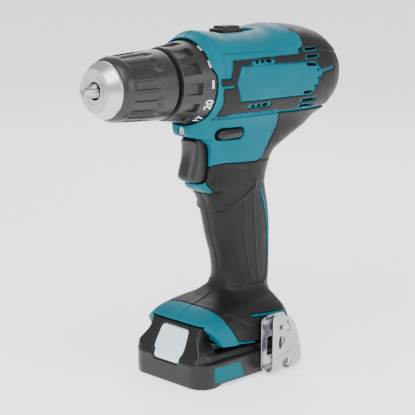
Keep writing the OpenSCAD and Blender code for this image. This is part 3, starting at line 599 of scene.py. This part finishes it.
inside_palm = smooth(-palm_d, 0.2, 1.0)
for line in palm_lines:
    relief = relief - on_side * inside_palm * 0.5 * smooth(polyline(X, Z, line), 0.9, 0.1)
ridge = polyline(X, Z, [(9.8, 98.8), (-8.4, 107.9), (-17, 112.8), (-17.4, 116.5)])
relief = relief - on_side * 0.55 * smooth(ridge, 1.5, 0.2)
front_seam = polyline(X, Z, [(14.6, 109), (11.5, 96), (8, 82), (3.4, 66), (2.4, 56)])
relief = relief + 0.5 * smooth(front_seam, 0.5, 0.1) * smooth(Y, 2.5, 4.5) * smooth(Z, 54, 60)
spine = np.maximum(stripe_in - stripe_mid, np.maximum(Z - 115.5, 48 - Z))
relief = relief + 0.5 * smooth(-spine, -0.2, 0.5) * smooth(16.5 - Y, 0, 2)

# Facets of the foot above the battery.
foot_panel = polygon(X, Z, [(17.6, 41.5), (12, 40.6), (-1, 32.4), (-36, 31.8), (-36, 20), (8, 20), (17, 34)])
relief = relief + 0.8 * smooth(-foot_panel, -0.3, 0.8) * smooth(Y, 20, 26)
shoulder = polyline(X, Z, [(31, 38), (26.5, 40.8), (14, 40.6)])
relief = relief - 0.25 * smooth(shoulder, 2.0, 0.2) * smooth(Y, 16, 22)

shaped = outside + relief.astype(np.float32)

# Vents: slots in the skin as x from, x to, z from, z to, and a slope where they have one. The hard shell
# under them has smaller ones. Bar holes are x, z and length; squares are x and z.
SKIN_SLOTS = [(-62.8, -48.6, 192.7, 194.9), (-63, -49.3, 188.3, 190.4), (-61.8, -47, 162, 164.3),
              (-60.9, -47.2, 158.5, 160.5), (-22.7, -3.8, 187.5, 189.8), (-21.1, -1.8, 162.3, 164.5)]
SHELL_SLOTS = [(-62.2, -50.5, 193.0, 194.5), (-62.4, -51, 188.6, 190.1), (-61.2, -49, 162.3, 163.9),
               (-60.3, -49, 158.8, 160.2)]
BAR_HOLES = [(-8.4, 189, 3.0), (-13, 189, 3.2), (-18.2, 189, 4.6), (-6.6, 163.5, 3.0), (-11.4, 163.5, 3.2),
             (-16.6, 163.5, 4.6)]
PANEL_SLOTS = [(-59.4, -49.2, 183.9, 185.6, 0.07), (-55.8, -47.6, 167.4, 169.1)]
PANEL_SQUARES = [(-60.2, 181.2), (-61.1, 176.2), (-57.9, 171.8)]
END_SLOTS = [(-86.5, -82.4, 187.4, 190.8), (-85.4, -81.2, 160, 163)]

BAR_HOLE_HALF = 0.85
skin_cut = union(*[pill(X, Z, *slot) for slot in SKIN_SLOTS + END_SLOTS])
shell_cut = union(*[pill(X, Z, x0 + 0.4, x1 - 1.6, z0 + 0.5, z1 - 0.5) for x0, x1, z0, z1 in END_SLOTS])
for slot in SHELL_SLOTS + PANEL_SLOTS:
    shell_cut = union(shell_cut, pill(X, Z, *slot))
for x, z, length in BAR_HOLES:
    low, high = z - BAR_HOLE_HALF, z + BAR_HOLE_HALF
    shell_cut = union(shell_cut, pill(X, Z, x - length / 2, x + length / 2, low, high))
for x, z in PANEL_SQUARES:
    shell_cut = union(shell_cut, meet(np.abs(X - x) - 0.8, np.abs(Z - z) - 1.0))
vent_side = 12.0 - Y
skin_cut = meet(skin_cut, vent_side)
shell_cut = meet(shell_cut, vent_side)

# Openings shared by shell and skin.
TRIGGER_HALF = TRIGGER_HIGH[1] + 0.45
KNOB_TRAVEL = 7.0
BAY_HALF = 21.6
radius = np.sqrt(Y**2 + (Z - AXIS_Z) ** 2)
ring_mouth = meet(radius - (RING_HIGH[2] - AXIS_Z + 0.5), RING_LOW[0] - 0.4 - X)
gear_bore = meet(radius - 22.3, -28 - X)
trigger_slot = polygon(X, Z, rounded([(6, 145.1), (60, 145.9), (60, 117.8), (6, 117.8)], 1))
scallop = polygon(X, Z, rounded([(14.2, 139.4), (17.4, 142.8), (30, 144.4), (60, 145), (60, 118.4),
                                 (22, 118.6), (17.6, 120), (14.4, 124)], 2))
lever_z = (LEVER_LOW[2] + LEVER_HIGH[2]) / 2
lever_front = LEVER_HIGH[0]
lever_slot = meet(pill(X, Z, lever_front - 19.8, lever_front + 0.8, lever_z - 3.7, lever_z + 3.7), 10 - Y)
lamp_z = (LAMP_LOW[2] + LAMP_HIGH[2]) / 2
lamp_hole = meet(bar(Y, Z - lamp_z, 2.6), LAMP_HIGH[0] - 5.5 - X)
lamp_seat = brick(X, Y, Z, (LAMP_LOW[0] - 1, -1, LAMP_LOW[2] - 0.5),
                  (LAMP_LOW[0] + 2.6, 5.6, LAMP_HIGH[2] + 0.5))
knob_recess = brick(X, Y, Z, (KNOB_LOW[0] - KNOB_TRAVEL - 1.2, -1, KNOB_LOW[2] + 3),
                    (KNOB_HIGH[0] + 3.4, 6.9, 225), 1.6)
fork_slot = brick(X, Y, Z, (-23, -1, 190), (1, 3, 215))
battery_bay = brick(X, Y, Z, (-34, -60, 0), (90, BAY_HALF, COVER_HIGH[2] + 0.7))
shroud_cut = polygon(X, Z, [(32.6, 37.2), (22.6, 23.8), (21, 19), (60, 19), (60, 37.2)])
ledge_cut = polygon(X, Z, [(24.6, 24), (-8, 20.9), (-8, 10), (60, 10), (60, 24)])
insert_hole = meet(bar(X - (HOOK_LOW[0] + HOOK_HIGH[0]) / 2, Z - INSERT_Z, 4.1), 24 - Y)
openings = union(ring_mouth, gear_bore, smax(trigger_slot, Y - TRIGGER_HALF, 0.6), scallop, lever_slot,
                 lamp_hole, lamp_seat, knob_recess, fork_slot, battery_bay, shroud_cut, ledge_cut,
                 insert_hole)

cavity = outside + SKIN_T + WALL
under_skin = outside + SKIN_T
middle = MIDDLE_GAP - Y
# Half of the gap between the skin's edge and the shell.
EDGE = 0.12
shell = meet(union(meet(shaped, -(soft - EDGE)), under_skin + 0.05), -cavity)
shell = meet(smax(shell, -openings, 0.5), -shell_cut, middle)
skin = meet(smax(shaped, soft + EDGE, 0.9), -under_skin)
skin = meet(smax(smax(skin, -openings, 0.5), -skin_cut, 0.4), middle)

# Screw wells are only in the right half: x, z.
SCREWS = [(12.3, 201), (-69, 200), (-82, 165.5), (-24, 150.5), (2, 110.4), (-28, 101), (-18, 54.5),
          (-33, 43.6)]
WELL_R = 3.1
WELL_FLOOR = 10.9
wells = meet(union(*[bar(X - x, Z - z, WELL_R) for x, z in SCREWS]), WELL_FLOOR - Y)

surface("housing_left_shell", body_grid, shell, TEAL, "tool", ["housing_left"])
surface("grip_left_skin", body_grid, skin, SKIN, "tool", ["grip_left"])
surface("housing_right_shell", body_grid, smax(shell, -wells, 0.4), TEAL, "tool",
        ["housing_right"], mirror=True)
surface("grip_right_skin", body_grid, smax(skin, -wells, 0.4), SKIN, "tool",
        ["grip_right"], mirror=True)

# ---------- chuck and clutch ring ----------


def turned(name, xs, angles, reach, inner, material, body, replaces=()):
    """A part turned about the chuck axis.

    reach[i, j] is the outer radius at xs[i] and angles[j], from +Z towards +Y. inner closes the
    section: points (x, radius) from the last x back to the first.
    """
    rows = [(x, reach[i]) for i, x in enumerate(xs)] + [(x, np.full(len(angles), r)) for x, r in inner]
    points = []
    for x, r in rows:
        points.append(np.stack([np.full(len(angles), x), r * np.sin(angles), AXIS_Z + r * np.cos(angles)], 1))
    points = np.concatenate(points)
    n, m = len(angles), len(rows)
    here = np.arange(n)
    there = (here + 1) % n
    quads = []
    for i in range(m):
        j = (i + 1) % m
        quads.append(np.stack([i * n + here, j * n + here, j * n + there, i * n + there], 1))
    quads = np.concatenate(quads)
    a, b, c = (points[quads[:, k]] - [0, 0, AXIS_Z] for k in range(3))
    if np.einsum("ij,ij->i", a, np.cross(b, c)).sum() < 0:
        quads = quads[:, ::-1]
    piece = build(name, points, quads.tolist(), material, body, replaces)
    sharpen(piece, 34)
    return piece


def sharpen(piece, degrees):
    """Creases the shading where faces meet at more than this angle."""
    piece.data.set_sharp_from_angle(angle=math.radians(degrees))


def follow(points, xs):
    """Radius at each x along a profile of (x, radius) points."""
    rows = sorted(points)
    return np.interp(xs, [p[0] for p in rows], [p[1] for p in rows])


SLEEVE_FRONT, SLEEVE_BACK = SLEEVE_HIGH[0], SLEEVE_LOW[0]
SLEEVE_R = (SLEEVE_HIGH[2] - SLEEVE_LOW[2]) / 2
SLEEVE_BORE = 14.9
RIBS = 18
RIB_DEPTH = 0.85
# Across one rib, from -0.5 to 0.5: the flute between -0.4 and 0.4 has the most points.
rib_u = np.concatenate([np.linspace(-0.5, -0.4, 4), np.linspace(-0.385, 0.385, 17),
                        np.linspace(0.4, 0.48, 4)])
sleeve_angles = np.concatenate([(k + rib_u) for k in range(RIBS)]) * 2 * math.pi / RIBS
u_all = np.tile(rib_u, RIBS)
sleeve_xs = np.array([SLEEVE_FRONT, SLEEVE_FRONT - 0.25, 86.0, 85.0, 84.2, 83.4, 82.4, 81.2, 80.3, 80.0,
                      79.4, 78.8, 78.2, 77.4, 76, 74, 72, 70, 68, 66.5, 65, 64, 63, 62, 61.2, 60.4, 59.6,
                      58.8, 58, 57, 56, 54, 52, 50.6, 49.8, 49.2, 48.8, SLEEVE_BACK])
SLEEVE_LINE = [(SLEEVE_FRONT, 16.0), (SLEEVE_FRONT - 0.25, 16.4), (86.0, 16.75), (84.2, 17.75),
               (82.4, 18.35), (80, 18.6), (66, 19.45), (56, 19.95), (50.6, SLEEVE_R), (49.8, SLEEVE_R),
               (49.2, SLEEVE_R - 0.2), (48.8, SLEEVE_R - 0.6), (SLEEVE_BACK, SLEEVE_R - 1.1)]
sleeve_base = follow(SLEEVE_LINE, sleeve_xs)[:, None]
groove = smooth(0.405 - np.abs(u_all), 0, 0.06)[None, :]
rear_end = 57.0 + 4.0 * (np.abs(u_all) / 0.4)[None, :]
along = sleeve_xs[:, None]
scoop = smooth(80.3 - along, 0, 1.2) * np.clip((along - rear_end) / 4.5, 0, 1)
sleeve_reach = sleeve_base - RIB_DEPTH * groove * scoop
turned("chuck_sleeve_ribbed", sleeve_xs, sleeve_angles, sleeve_reach,
       [(SLEEVE_BACK, SLEEVE_BORE), (SLEEVE_FRONT, SLEEVE_BORE)], CHUCK_BLACK, "chuck_collar",
       ["chuck_sleeve"])

RING_FRONT, RING_BACK = RING_HIGH[0], 23.0
RING_FRONT_R, RING_BACK_R = 21.3, 24.6
POCKETS = 12
POCKET_PHASE = math.radians(94.0)
POCKET_HALF = 3.1
POCKET_FLOOR = 20.95
POCKET_END = 33.5
RING_LINE = [(RING_FRONT, RING_FRONT_R - 0.8), (RING_FRONT - 0.3, RING_FRONT_R - 0.25),
             (RING_FRONT - 0.9, RING_FRONT_R), (24.2, RING_BACK_R - 0.05), (23.6, RING_BACK_R - 0.1),
             (23.2, RING_BACK_R - 0.35), (RING_BACK, RING_BACK_R - 0.7)]
ring_xs = np.array([RING_FRONT, RING_FRONT - 0.15, RING_FRONT - 0.3, RING_FRONT - 0.6, RING_FRONT - 0.9,
                    44, 42, 40, 38, 36, 34.6, 33.9, 33.75, POCKET_END + 0.1, POCKET_END - 0.05,
                    POCKET_END - 0.25, 32.6, 31, 29, 27, 25.4, 24.6, 24.2, 23.6, 23.4, 23.2, RING_BACK])
# Angles across one pocket and the rib after it, closest together at the pocket's edges.
PITCH = 2 * math.pi / POCKETS
edge = POCKET_HALF / 22.5
near_edge = edge * np.array([0.98, 1.02, 1.07])
pocket_turns = np.concatenate([np.linspace(-edge * 0.94, edge * 0.94, 9), near_edge,
                               np.linspace(edge * 1.35, PITCH - edge * 1.35, 6), PITCH - near_edge[::-1]])
ring_angles = np.concatenate([POCKET_PHASE + k * PITCH + pocket_turns for k in range(POCKETS)])
turn = np.tile(pocket_turns, POCKETS)
turn = np.where(turn > PITCH / 2, turn - PITCH, turn)
ring_base = follow(RING_LINE, ring_xs)[:, None]
floor_r = POCKET_FLOOR / np.cos(np.clip(turn, -edge, edge))[None, :]
in_pocket = smooth(edge * 1.05 - np.abs(turn), 0, edge * 0.09)[None, :]
in_pocket = in_pocket * smooth(ring_xs, POCKET_END - 0.1, POCKET_END + 0.3)[:, None]
ring_reach = ring_base - np.maximum(ring_base - floor_r, 0) * in_pocket
turned("torque_ring_numbered", ring_xs, ring_angles, ring_reach,
       [(RING_BACK, 20.2), (43.4, 18), (43.4, 13.4), (RING_FRONT, 13.4)], CHUCK_BLACK, "clutch_setting",
       ["torque_ring"])


def ring_point(x, turn_angle, lift):
    r = follow(RING_LINE, np.array([x]))[0] + lift
    return (x, r * math.sin(turn_angle), AXIS_Z + r * math.cos(turn_angle))


PRINT_LIFT = 0.05
PRINT_SINK = -0.12
TICK_X, TICK_WIDE, TICK_LONG = 26.6, 1.35, 4.6
NUMBER_X, NUMBER_TALL = 27.4, 5.2
# Angle from the top, in degrees, and the number; no number means a tick.
MARKS = [(32.5, ""), (60.5, ""), (88.5, ""), (118, "20"), (148, "17"), (178, "14"), (208, "11"), (238, "8"),
         (268, "5"), (298, "3"), (328, "1")]


def wrap_flat(corners, faces, angle, centre_x):
    """Lays a flat figure on the ring: u runs backwards round it and v runs forward along it."""
    count = len(corners)
    points = []
    for lift in (PRINT_LIFT, PRINT_SINK):
        for u, v in corners:
            points.append(ring_point(centre_x + v, angle - u / RING_BACK_R, lift))
    solid = [list(f) for f in faces] + [[i + count for i in reversed(f)] for f in faces]
    edges = dict.fromkeys((a, b) for f in faces for a, b in zip(f, f[1:] + f[:1]))
    solid += [[b, a, a + count, b + count] for a, b in edges if (b, a) not in edges]
    return points, solid


def join_print(parts):
    """All the printed figures as one list of points and one of faces."""
    points, faces = [], []
    for part_points, part_faces in parts:
        start = len(points)
        points += part_points
        faces += [[i + start for i in f] for f in part_faces]
    return points, faces


def tick_figure(steps=8):
    """A short stroke, cut into steps so that it bends with the ring."""
    corners = []
    for i in range(steps + 1):
        u = (i / steps - 0.5) * TICK_LONG
        corners += [(u, -TICK_WIDE / 2), (u, TICK_WIDE / 2)]
    return corners, [[2 * i, 2 * i + 2, 2 * i + 3, 2 * i + 1] for i in range(steps)]


def number_figure(text):
    """Flat triangles of a number in the built-in typeface, centred, a little bold."""
    curve = bpy.data.curves.new("number", "FONT")
    curve.body = text
    curve.size = NUMBER_TALL * 1.38
    curve.offset = 0.12
    curve.resolution_u = 4
    curve.align_x = "CENTER"
    source = bpy.data.objects.new("number", curve)
    bpy.context.scene.collection.objects.link(source)
    mesh = bpy.data.meshes.new_from_object(source)
    flat = bmesh.new()
    flat.from_mesh(mesh)
    bmesh.ops.remove_doubles(flat, verts=flat.verts, dist=0.001)
    bmesh.ops.triangulate(flat, faces=flat.faces)
    corners = [(v.co.x, v.co.y) for v in flat.verts]
    faces = [[v.index for v in f.verts] for f in flat.faces]
    flat.free()
    bpy.data.objects.remove(source)
    bpy.data.curves.remove(curve)
    bpy.data.meshes.remove(mesh)
    middle = (min(c[1] for c in corners) + max(c[1] for c in corners)) / 2
    return [(u, v - middle) for u, v in corners], faces


figures = []
for degrees, text in MARKS:
    corners, faces = number_figure(text) if text else tick_figure()
    figures.append(wrap_flat(corners, faces, math.radians(degrees), NUMBER_X if text else TICK_X))
mark_points, mark_faces = join_print(figures)
build("ring_marks", mark_points, mark_faces, PRINT, "clutch_setting", smooth_faces=False)

# ---------- trigger, lever, knob ----------

trigger_half = TRIGGER_HIGH[1]
trigger_back = TRIGGER_LOW[0]
grid = Grid((trigger_back - 1, -trigger_half - 1, 117), (TRIGGER_HIGH[0] + 1.4, trigger_half + 1, 145.6),
            0.27)
x, y, z = grid.x, grid.y, grid.z
side = polygon(x, z, rounded([(trigger_back, 118.5), (20, 118.3), (25.4, 118.9), (27.4, 120.6), (27.6, 122.8),
                              (26.2, 127.4), (24.8, 132), (24.3, 137), (24.7, 141), (25.7, 144.5),
                              (trigger_back, 144.5)], 2, 1.6))
bow = 2.6 * (np.abs(y) / trigger_half) ** 2.6
face_part = smax(side + bow * smooth(x, 14, 22), np.abs(y) - trigger_half, 1.6)
heel_part = smax(side + 0.35, np.abs(y) - trigger_half + 0.45, 0.8)
seam_x = np.interp(z, [118, 120, 123, 127, 132, 137, 141, 145], [23.2, 24, 24.4, 23, 21.5, 21.1, 21.6, 22.6])
cap = smax(face_part, seam_x + 0.2 - x, 0.6)
heel = meet(heel_part, x - seam_x + 0.15)
core = meet(smax(side + 1.2, np.abs(y) - trigger_half + 1.3, 0.4), x - seam_x - 2)
spring_pocket = brick(x, y, z, (trigger_back - 1, -3.2, 127.8), (18.2, 3.2, 134.2))
trigger_field = meet(union(cap, heel, core), -spring_pocket)
surface("trigger_shell", grid, trigger_field, CHUCK_BLACK, "trigger_button", ["trigger"])

LEVER_HALF = 9.5
lever_x = (lever_front + max(LEVER_LOW[0], lever_front - 2 * LEVER_HALF)) / 2
lever_reach = LEVER_HIGH[1]
grid = Grid((LEVER_LOW[0] - 1.5, -lever_reach - 1.2, LEVER_LOW[2] - 0.6),
            (lever_front + 1.5, lever_reach + 1.2, LEVER_HIGH[2] + 0.6), 0.3)
x, y, z = grid.x, grid.y, grid.z
side_y = np.abs(y)
plate = pill(x, z, lever_x - LEVER_HALF, lever_x + LEVER_HALF, lever_z - 3, lever_z + 3)
plate = smax(plate, side_y - lever_reach, 1.8)
plate = smax(plate, lever_reach - 4 - side_y, 0.4)
rib = pill(x, z, lever_x - 7.5, lever_x + 5.5, lever_z - 1.1, lever_z + 1.3)
rib = meet(smax(rib, side_y - lever_reach - 0.5, 0.7), lever_reach - 2 - side_y)
dimple = np.sqrt((x - lever_x - 7.0) ** 2 + (z - lever_z) ** 2 + (side_y - lever_reach - 0.3) ** 2) - 1.1
crossbar = brick(x, y, z, (lever_x - 6, -lever_reach + 2, lever_z - 2),
                 (lever_x + 6, lever_reach - 2, lever_z + 2), 0.4)
tail = brick(x, y, z, (LEVER_LOW[0], -1.5, lever_z - 2.9), (lever_x + 2, 1.5, lever_z + 0.1), 0.3)
surface("direction_lever_pills", grid, union(plate, rib, dimple, crossbar, tail), BLACK,
        "direction_selector", ["direction_lever"])

knob_mid = (KNOB_LOW[0] + KNOB_HIGH[0]) / 2
grid = Grid((KNOB_LOW[0] - 0.6, -6.6, KNOB_LOW[2] - 0.5), (KNOB_HIGH[0] + 0.6, 6.6, KNOB_HIGH[2] + 0.5), 0.25)
x, y, z = grid.x, grid.y, grid.z
plate = brick(x, y, z, (KNOB_LOW[0], -5.9, KNOB_HIGH[2] - 4.2), (KNOB_HIGH[0], 5.9, KNOB_HIGH[2] - 1.6), 0.5)
thumb = brick(x, y, z, (knob_mid - 6.5, -4.9, KNOB_HIGH[2] - 3), (knob_mid + 6.5, 4.9, KNOB_HIGH[2]), 0.7)
knob_field = smin(plate, thumb, 0.7)
for i in range(-2, 3):
    knob_field = smax(knob_field, -brick(x, y, z, (knob_mid + 2.2 * i - 0.45, -9, KNOB_HIGH[2] - 0.8),
                                         (knob_mid + 2.2 * i + 0.45, 9, KNOB_HIGH[2] + 3)), 0.25)
stem = brick(x, y, z, (knob_mid - 3, -2.6, KNOB_LOW[2]), (knob_mid + 3, 2.6, KNOB_HIGH[2] - 3))
surface("speed_knob_ribbed", grid, union(knob_field, stem), BLACK, "speed_selector",
        ["speed_knob"])

# ---------- battery ----------

PACK_X, PACK_Y = PACK_HIGH[0], PACK_HIGH[1]
SPLIT = PACK_HIGH[2]
BLOCK_TOP = COVER_HIGH[2]
CORNER = 11.0
grid = Grid((-PACK_X - 1, -PACK_Y - 1, -0.9), (PACK_X + 1, PACK_Y + 1, BLOCK_TOP + 1), 0.45)
x, y, z = grid.x, grid.y, grid.z
side_y = np.abs(y)


def pack_ring(inset):
    """Distance to the battery's outline, seen from above."""
    du = np.abs(x) - (PACK_X - CORNER)
    dv = side_y - (PACK_Y - CORNER)
    beyond = np.sqrt(np.maximum(du, 0) ** 2 + np.maximum(dv, 0) ** 2)
    return beyond + np.minimum(np.maximum(du, dv), 0) - CORNER + inset


belly = 0.35 * smooth(z, 6, 0)
tray = smax(smax(pack_ring(belly), -z, 1.2), z - SPLIT - 0.6, 0.9)
# The lower edge of the tray's sides rises a little behind the front.
lift = np.where(x < 28, smooth(x, 28.5, 22) * 1.6 - z + 0 * side_y, -9.0)
tray = smax(tray, lift + np.minimum(0, (side_y - 27.5) * 2.0), 0.8)
shelf = smax(pack_ring(2.2) + 0.35 * np.maximum(z - SPLIT, 0), z - COVER_LOW[2] - 4.35, 1.6)
shelf = smax(meet(shelf, SPLIT - 3 - z), x - 37, 1.2)


def slanted_front():
    """Distance in front of the plane that the release button lies in."""
    return ((x - 41.0) * 19.9 + (z - 15.6) * 9.5) / 22.05


slant = slanted_front()
leg_line = 24.5 + 0.59 * np.maximum(z - 24, 0)
flare = 20.8 + 6.4 * smooth(z, 30, 17.5)
half_width = np.where(x > leg_line + 0.6, flare, 20.9)
half_width = np.where(z < 20.2, 20.8 + (flare - 20.8) * smooth(x, 24, 26), half_width)
block = smax(smax(slant, side_y - half_width, 1.5), z - BLOCK_TOP, 1.0)
block = smax(meet(block, -32 - x, SPLIT - 3 - z), pack_ring(0.25), 1.2)
battery_form = smin(smin(tray, shelf, 0.8), block, 1.2)

# Release button and its recess, in the slanted front.
BUTTON_HALF = [(10.6, 12.8), (10.6, 17.4), (12.2, 18.6), (12.4, 23), (11.2, 32.2)]
BUTTON_LINE = BUTTON_HALF + [(-u, v) for u, v in reversed(BUTTON_HALF)]
button_plan = polygon(y, z, rounded(BUTTON_LINE, 2, 1.3))
front_plane = smax(slant, x - 41.0, 1.0)
pocket = smax(button_plan - 0.45, -(front_plane + 6.5), 0.5)
battery_solid = smax(battery_form, -pocket, 0.5)
case_hollow = meet(pack_ring(1.6), 1.2 - z, x - 34)
cover_hollow = meet(pack_ring(3.6), z - 18.2, x - 34)
block_hollow = brick(x, y, z, (-29, -16, 0), (17, 16, BLOCK_TOP - 1))
seam = meet(np.abs(z - SPLIT) - 0.16, -(battery_form + 0.4))
case_field = meet(battery_solid, z - SPLIT, -case_hollow, -seam)
cover_field = meet(battery_solid, SPLIT - z, -union(cover_hollow, block_hollow), -seam)
for contact in (-8, 0, 8):
    slot = brick(x, y, z, (-40, contact - 0.9, BLOCK_TOP - 6.2), (-13, contact + 0.9, 60))
    cover_field = meet(cover_field, -slot)
surface("battery_tray", grid, case_field, BLACK, "battery", ["battery_case"])
surface("battery_top", grid, cover_field, BLACK, "battery", ["battery_cover"])

grid = Grid((26, -13.6, 11.5), (42, 13.6, 33.7), 0.28)
x, y, z = grid.x, grid.y, grid.z
slant = slanted_front()
face = smax(slant + 0.5, (x - 40.6) + 0.05 * (15.6 - z), 0.5)
crease = 0.5 * smooth(np.abs(z - 17.9), 0.55, 0.1)
button_plan = polygon(y, z, rounded(BUTTON_LINE, 2, 1.3))
button_field = smax(smax(face + crease * 0.6, button_plan, 1.0), -(slant + 4.2), 0.4)
spring_pocket = brick(x, y, z, (24, -3, 24.6), (31.4, 3, 30.6))
button_field = meet(button_field, 27.5 - x, -spring_pocket)
surface("release_button_face", grid, button_field, BUTTON, "release_button",
        ["battery_button"])

# Blank colour labels on the battery's sides.
LABEL_LINE = [(30.4, 12.6), (9.0, 12.6), (5.2, 3.0), (27.8, 3.0), (30.4, 6.0)]
LABEL_LIFT = 0.06
LABEL_SINK = 0.5


def flat_label(name, sign):
    """A thin plate let into one side of the battery; sign is 1 on the left and -1 on the right."""
    outline = rounded(LABEL_LINE, 2, 0.9)
    count = len(outline)
    front = [(u, sign * (PACK_Y + LABEL_LIFT), v) for u, v in outline]
    back = [(u, sign * (PACK_Y - LABEL_SINK), v) for u, v in outline]
    faces = [list(range(count)), [i + count for i in reversed(range(count))]]
    faces += [[(i + 1) % count, i, i + count, (i + 1) % count + count] for i in range(count)]
    points = np.array(front + back)
    volume = sum(np.dot(points[f[0]], np.cross(points[f[k]], points[f[k + 1]]))
                 for f in faces for k in range(1, len(f) - 1))
    if volume < 0:
        faces = [list(reversed(f)) for f in faces]
    return build(name, points, faces, LABEL, "battery", smooth_faces=False)


flat_label("battery_label_left", 1)
flat_label("battery_label_right", -1)

# ---------- belt hook ----------

HOOK_X0, HOOK_X1 = HOOK_LOW[0], HOOK_HIGH[0]
HOOK_T = 1.4
INNER_Y, OUTER_Y = HOOK_LOW[1] + HOOK_T / 2, HOOK_HIGH[1] - HOOK_T / 2
BEND = (OUTER_Y - INNER_Y) / 2
BEND_Z = HOOK_LOW[2] + BEND + HOOK_T / 2
MID_Y = (INNER_Y + OUTER_Y) / 2
INNER_TOP, OUTER_TOP = 37.2, 39.4
grid = Grid((HOOK_X0 - 0.8, HOOK_LOW[1] - 0.8, HOOK_LOW[2] - 0.8), (HOOK_X1 + 0.8, HOOK_HIGH[1] + 0.8, 41),
            0.25)
x, y, z = grid.x, grid.y, grid.z
lip = 1.6 * smooth(z, INNER_TOP - 3.4, INNER_TOP)
leaf_in = meet(np.abs(y - INNER_Y - lip) - HOOK_T / 2, BEND_Z - z, z - INNER_TOP)
leaf_out = meet(np.abs(y - OUTER_Y) - HOOK_T / 2, BEND_Z - z, z - OUTER_TOP)
bend = meet(np.abs(bar(y - MID_Y, z - BEND_Z, BEND)) - HOOK_T / 2, z - BEND_Z)
sheet = union(leaf_in, leaf_out, bend)
HOOK_TOE = [(HOOK_X0, 13.2), (HOOK_X0, 7.2), (-30.6, 3.4), (-27, 1)]
OUTER_LINE = [(HOOK_X1, 1), (HOOK_X1, 37.6), (-9.6, OUTER_TOP), (-16.4, OUTER_TOP), (-25.6, 34.6),
              (-30, 26)] + HOOK_TOE
INNER_LINE = [(HOOK_X1, 1), (HOOK_X1, INNER_TOP), (-27.5, INNER_TOP), (-31, 30)] + HOOK_TOE
outer_cut = polygon(x, z, rounded(OUTER_LINE, 2))
inner_cut = polygon(x, z, rounded(INNER_LINE, 2))
hook_field = smax(sheet, np.where(y > MID_Y, outer_cut, inner_cut), 0.5)
UPPER_HOLE = [(-13.4, 32.2), (-16.6, 32.4), (-17.8, 34.6), (-20.8, 34.4), (-22.4, 32.4), (-23.4, 27.6),
              (-20, 27.8), (-17.4, 29.6), (-13.4, 29.9)]
LOWER_HOLE = [(-13.4, 25.4), (-17.2, 25.6), (-19, 23.8), (-18.2, 21.2), (-15.4, 17.6), (-13.4, 17.9)]
for hole in (UPPER_HOLE, LOWER_HOLE):
    hook_field = smax(hook_field, -meet(polygon(x, z, rounded(hole, 2)), MID_Y - y), 0.4)
NOTCH_R = 3.9
NOTCH_X, NOTCH_Z = -20.7, 7.4
notch = union(meet(np.abs(x - NOTCH_X) - NOTCH_R, z - NOTCH_Z), bar(x - NOTCH_X, z - NOTCH_Z, NOTCH_R))
hook_field = smax(hook_field, -meet(notch, MID_Y - 2.4 - y), 0.4)
inner_window = brick(x, y, z, (-25.6, 0, 12), (-13, MID_Y, 23.4), 0.1)
hook_field = smax(hook_field, -inner_window, 0.4)
press_line = polyline(x, z, [(-23.9, 33), (-25.4, 17.4), (-24.4, 15.8), (-9, 12.4)])
hook_field = hook_field + 0.22 * smooth(press_line, 0.9, 0.1) * smooth(y, OUTER_Y, OUTER_Y + 0.4)
screw_hole = bar(x - (HOOK_X0 + HOOK_X1) / 2, z - INSERT_Z, 2.2)
hook_field = meet(hook_field, -meet(screw_hole, y - MID_Y))
surface("belt_hook_sheet", grid, hook_field, HOOK_STEEL, "tool", ["belt_hook"])

# ---------- camera, lights and floor ----------

CAMERA_AT = Vector((575.61, 574.20, 271.65)) * MM
CAMERA_TARGET = Vector((6.6, 0.0, 101.0)) * MM
CAMERA_ROLL = math.radians(0.47)
LENS = 119.7
FLOOR_GLOW = 1.1
SKY_LIGHT = 0.75


def make_camera():
    data = bpy.data.cameras.new("camera")
    data.lens = LENS
    data.sensor_width = 36
    data.clip_start = 0.05
    data.clip_end = 20
    camera = bpy.data.objects.new("camera", data)
    bpy.context.scene.collection.objects.link(camera)
    back = (CAMERA_AT - CAMERA_TARGET).normalized()
    right = Vector((0, 0, 1)).cross(back).normalized()
    up = back.cross(right)
    tilted_right = right * math.cos(CAMERA_ROLL) + up * math.sin(CAMERA_ROLL)
    tilted_up = up * math.cos(CAMERA_ROLL) - right * math.sin(CAMERA_ROLL)
    turn = Matrix((tilted_right, tilted_up, back)).transposed().to_4x4()
    camera.matrix_world = Matrix.Translation(CAMERA_AT) @ turn
    bpy.context.scene.camera = camera


def area_light(name, place, aim, size, power):
    data = bpy.data.lights.new(name, "AREA")
    data.shape = "RECTANGLE"
    data.size, data.size_y = size
    data.energy = power
    light = bpy.data.objects.new(name, data)
    light.location = place
    light.rotation_euler = (Vector(place) - Vector(aim)).to_track_quat("Z", "Y").to_euler()
    bpy.context.scene.collection.objects.link(light)


def make_studio():
    bpy.ops.mesh.primitive_plane_add(size=12, location=(0, 0, cad_low[2] - 0.0002))
    floor = bpy.context.object
    floor.name = "floor"
    paper = plastic("floor_paper", (0.93, 0.93, 0.93), (0.7, 0.8), 300, 0.05, tint=0.01)
    glow = paper.node_tree.nodes["Principled BSDF"].inputs
    glow["Emission Color"].default_value = (1, 1, 1, 1)
    glow["Emission Strength"].default_value = FLOOR_GLOW
    floor.data.materials.append(paper)
    world = bpy.data.worlds.new("studio")
    bpy.context.scene.world = world
    world.use_nodes = True
    sky = world.node_tree.nodes["Background"].inputs
    sky["Color"].default_value = (1, 1, 1, 1)
    sky["Strength"].default_value = SKY_LIGHT
    centre = (0, 0, 0.11)
    area_light("key", (0.55, 0.35, 0.95), centre, (0.7, 0.7), 11)
    area_light("front", (1.1, 0.2, 0.35), centre, (0.5, 0.9), 6)
    area_light("side", (-0.25, 1.1, 0.5), centre, (0.9, 0.5), 6)
    area_light("back", (-0.7, -0.6, 0.7), centre, (0.8, 0.6), 5)


make_camera()
make_studio()
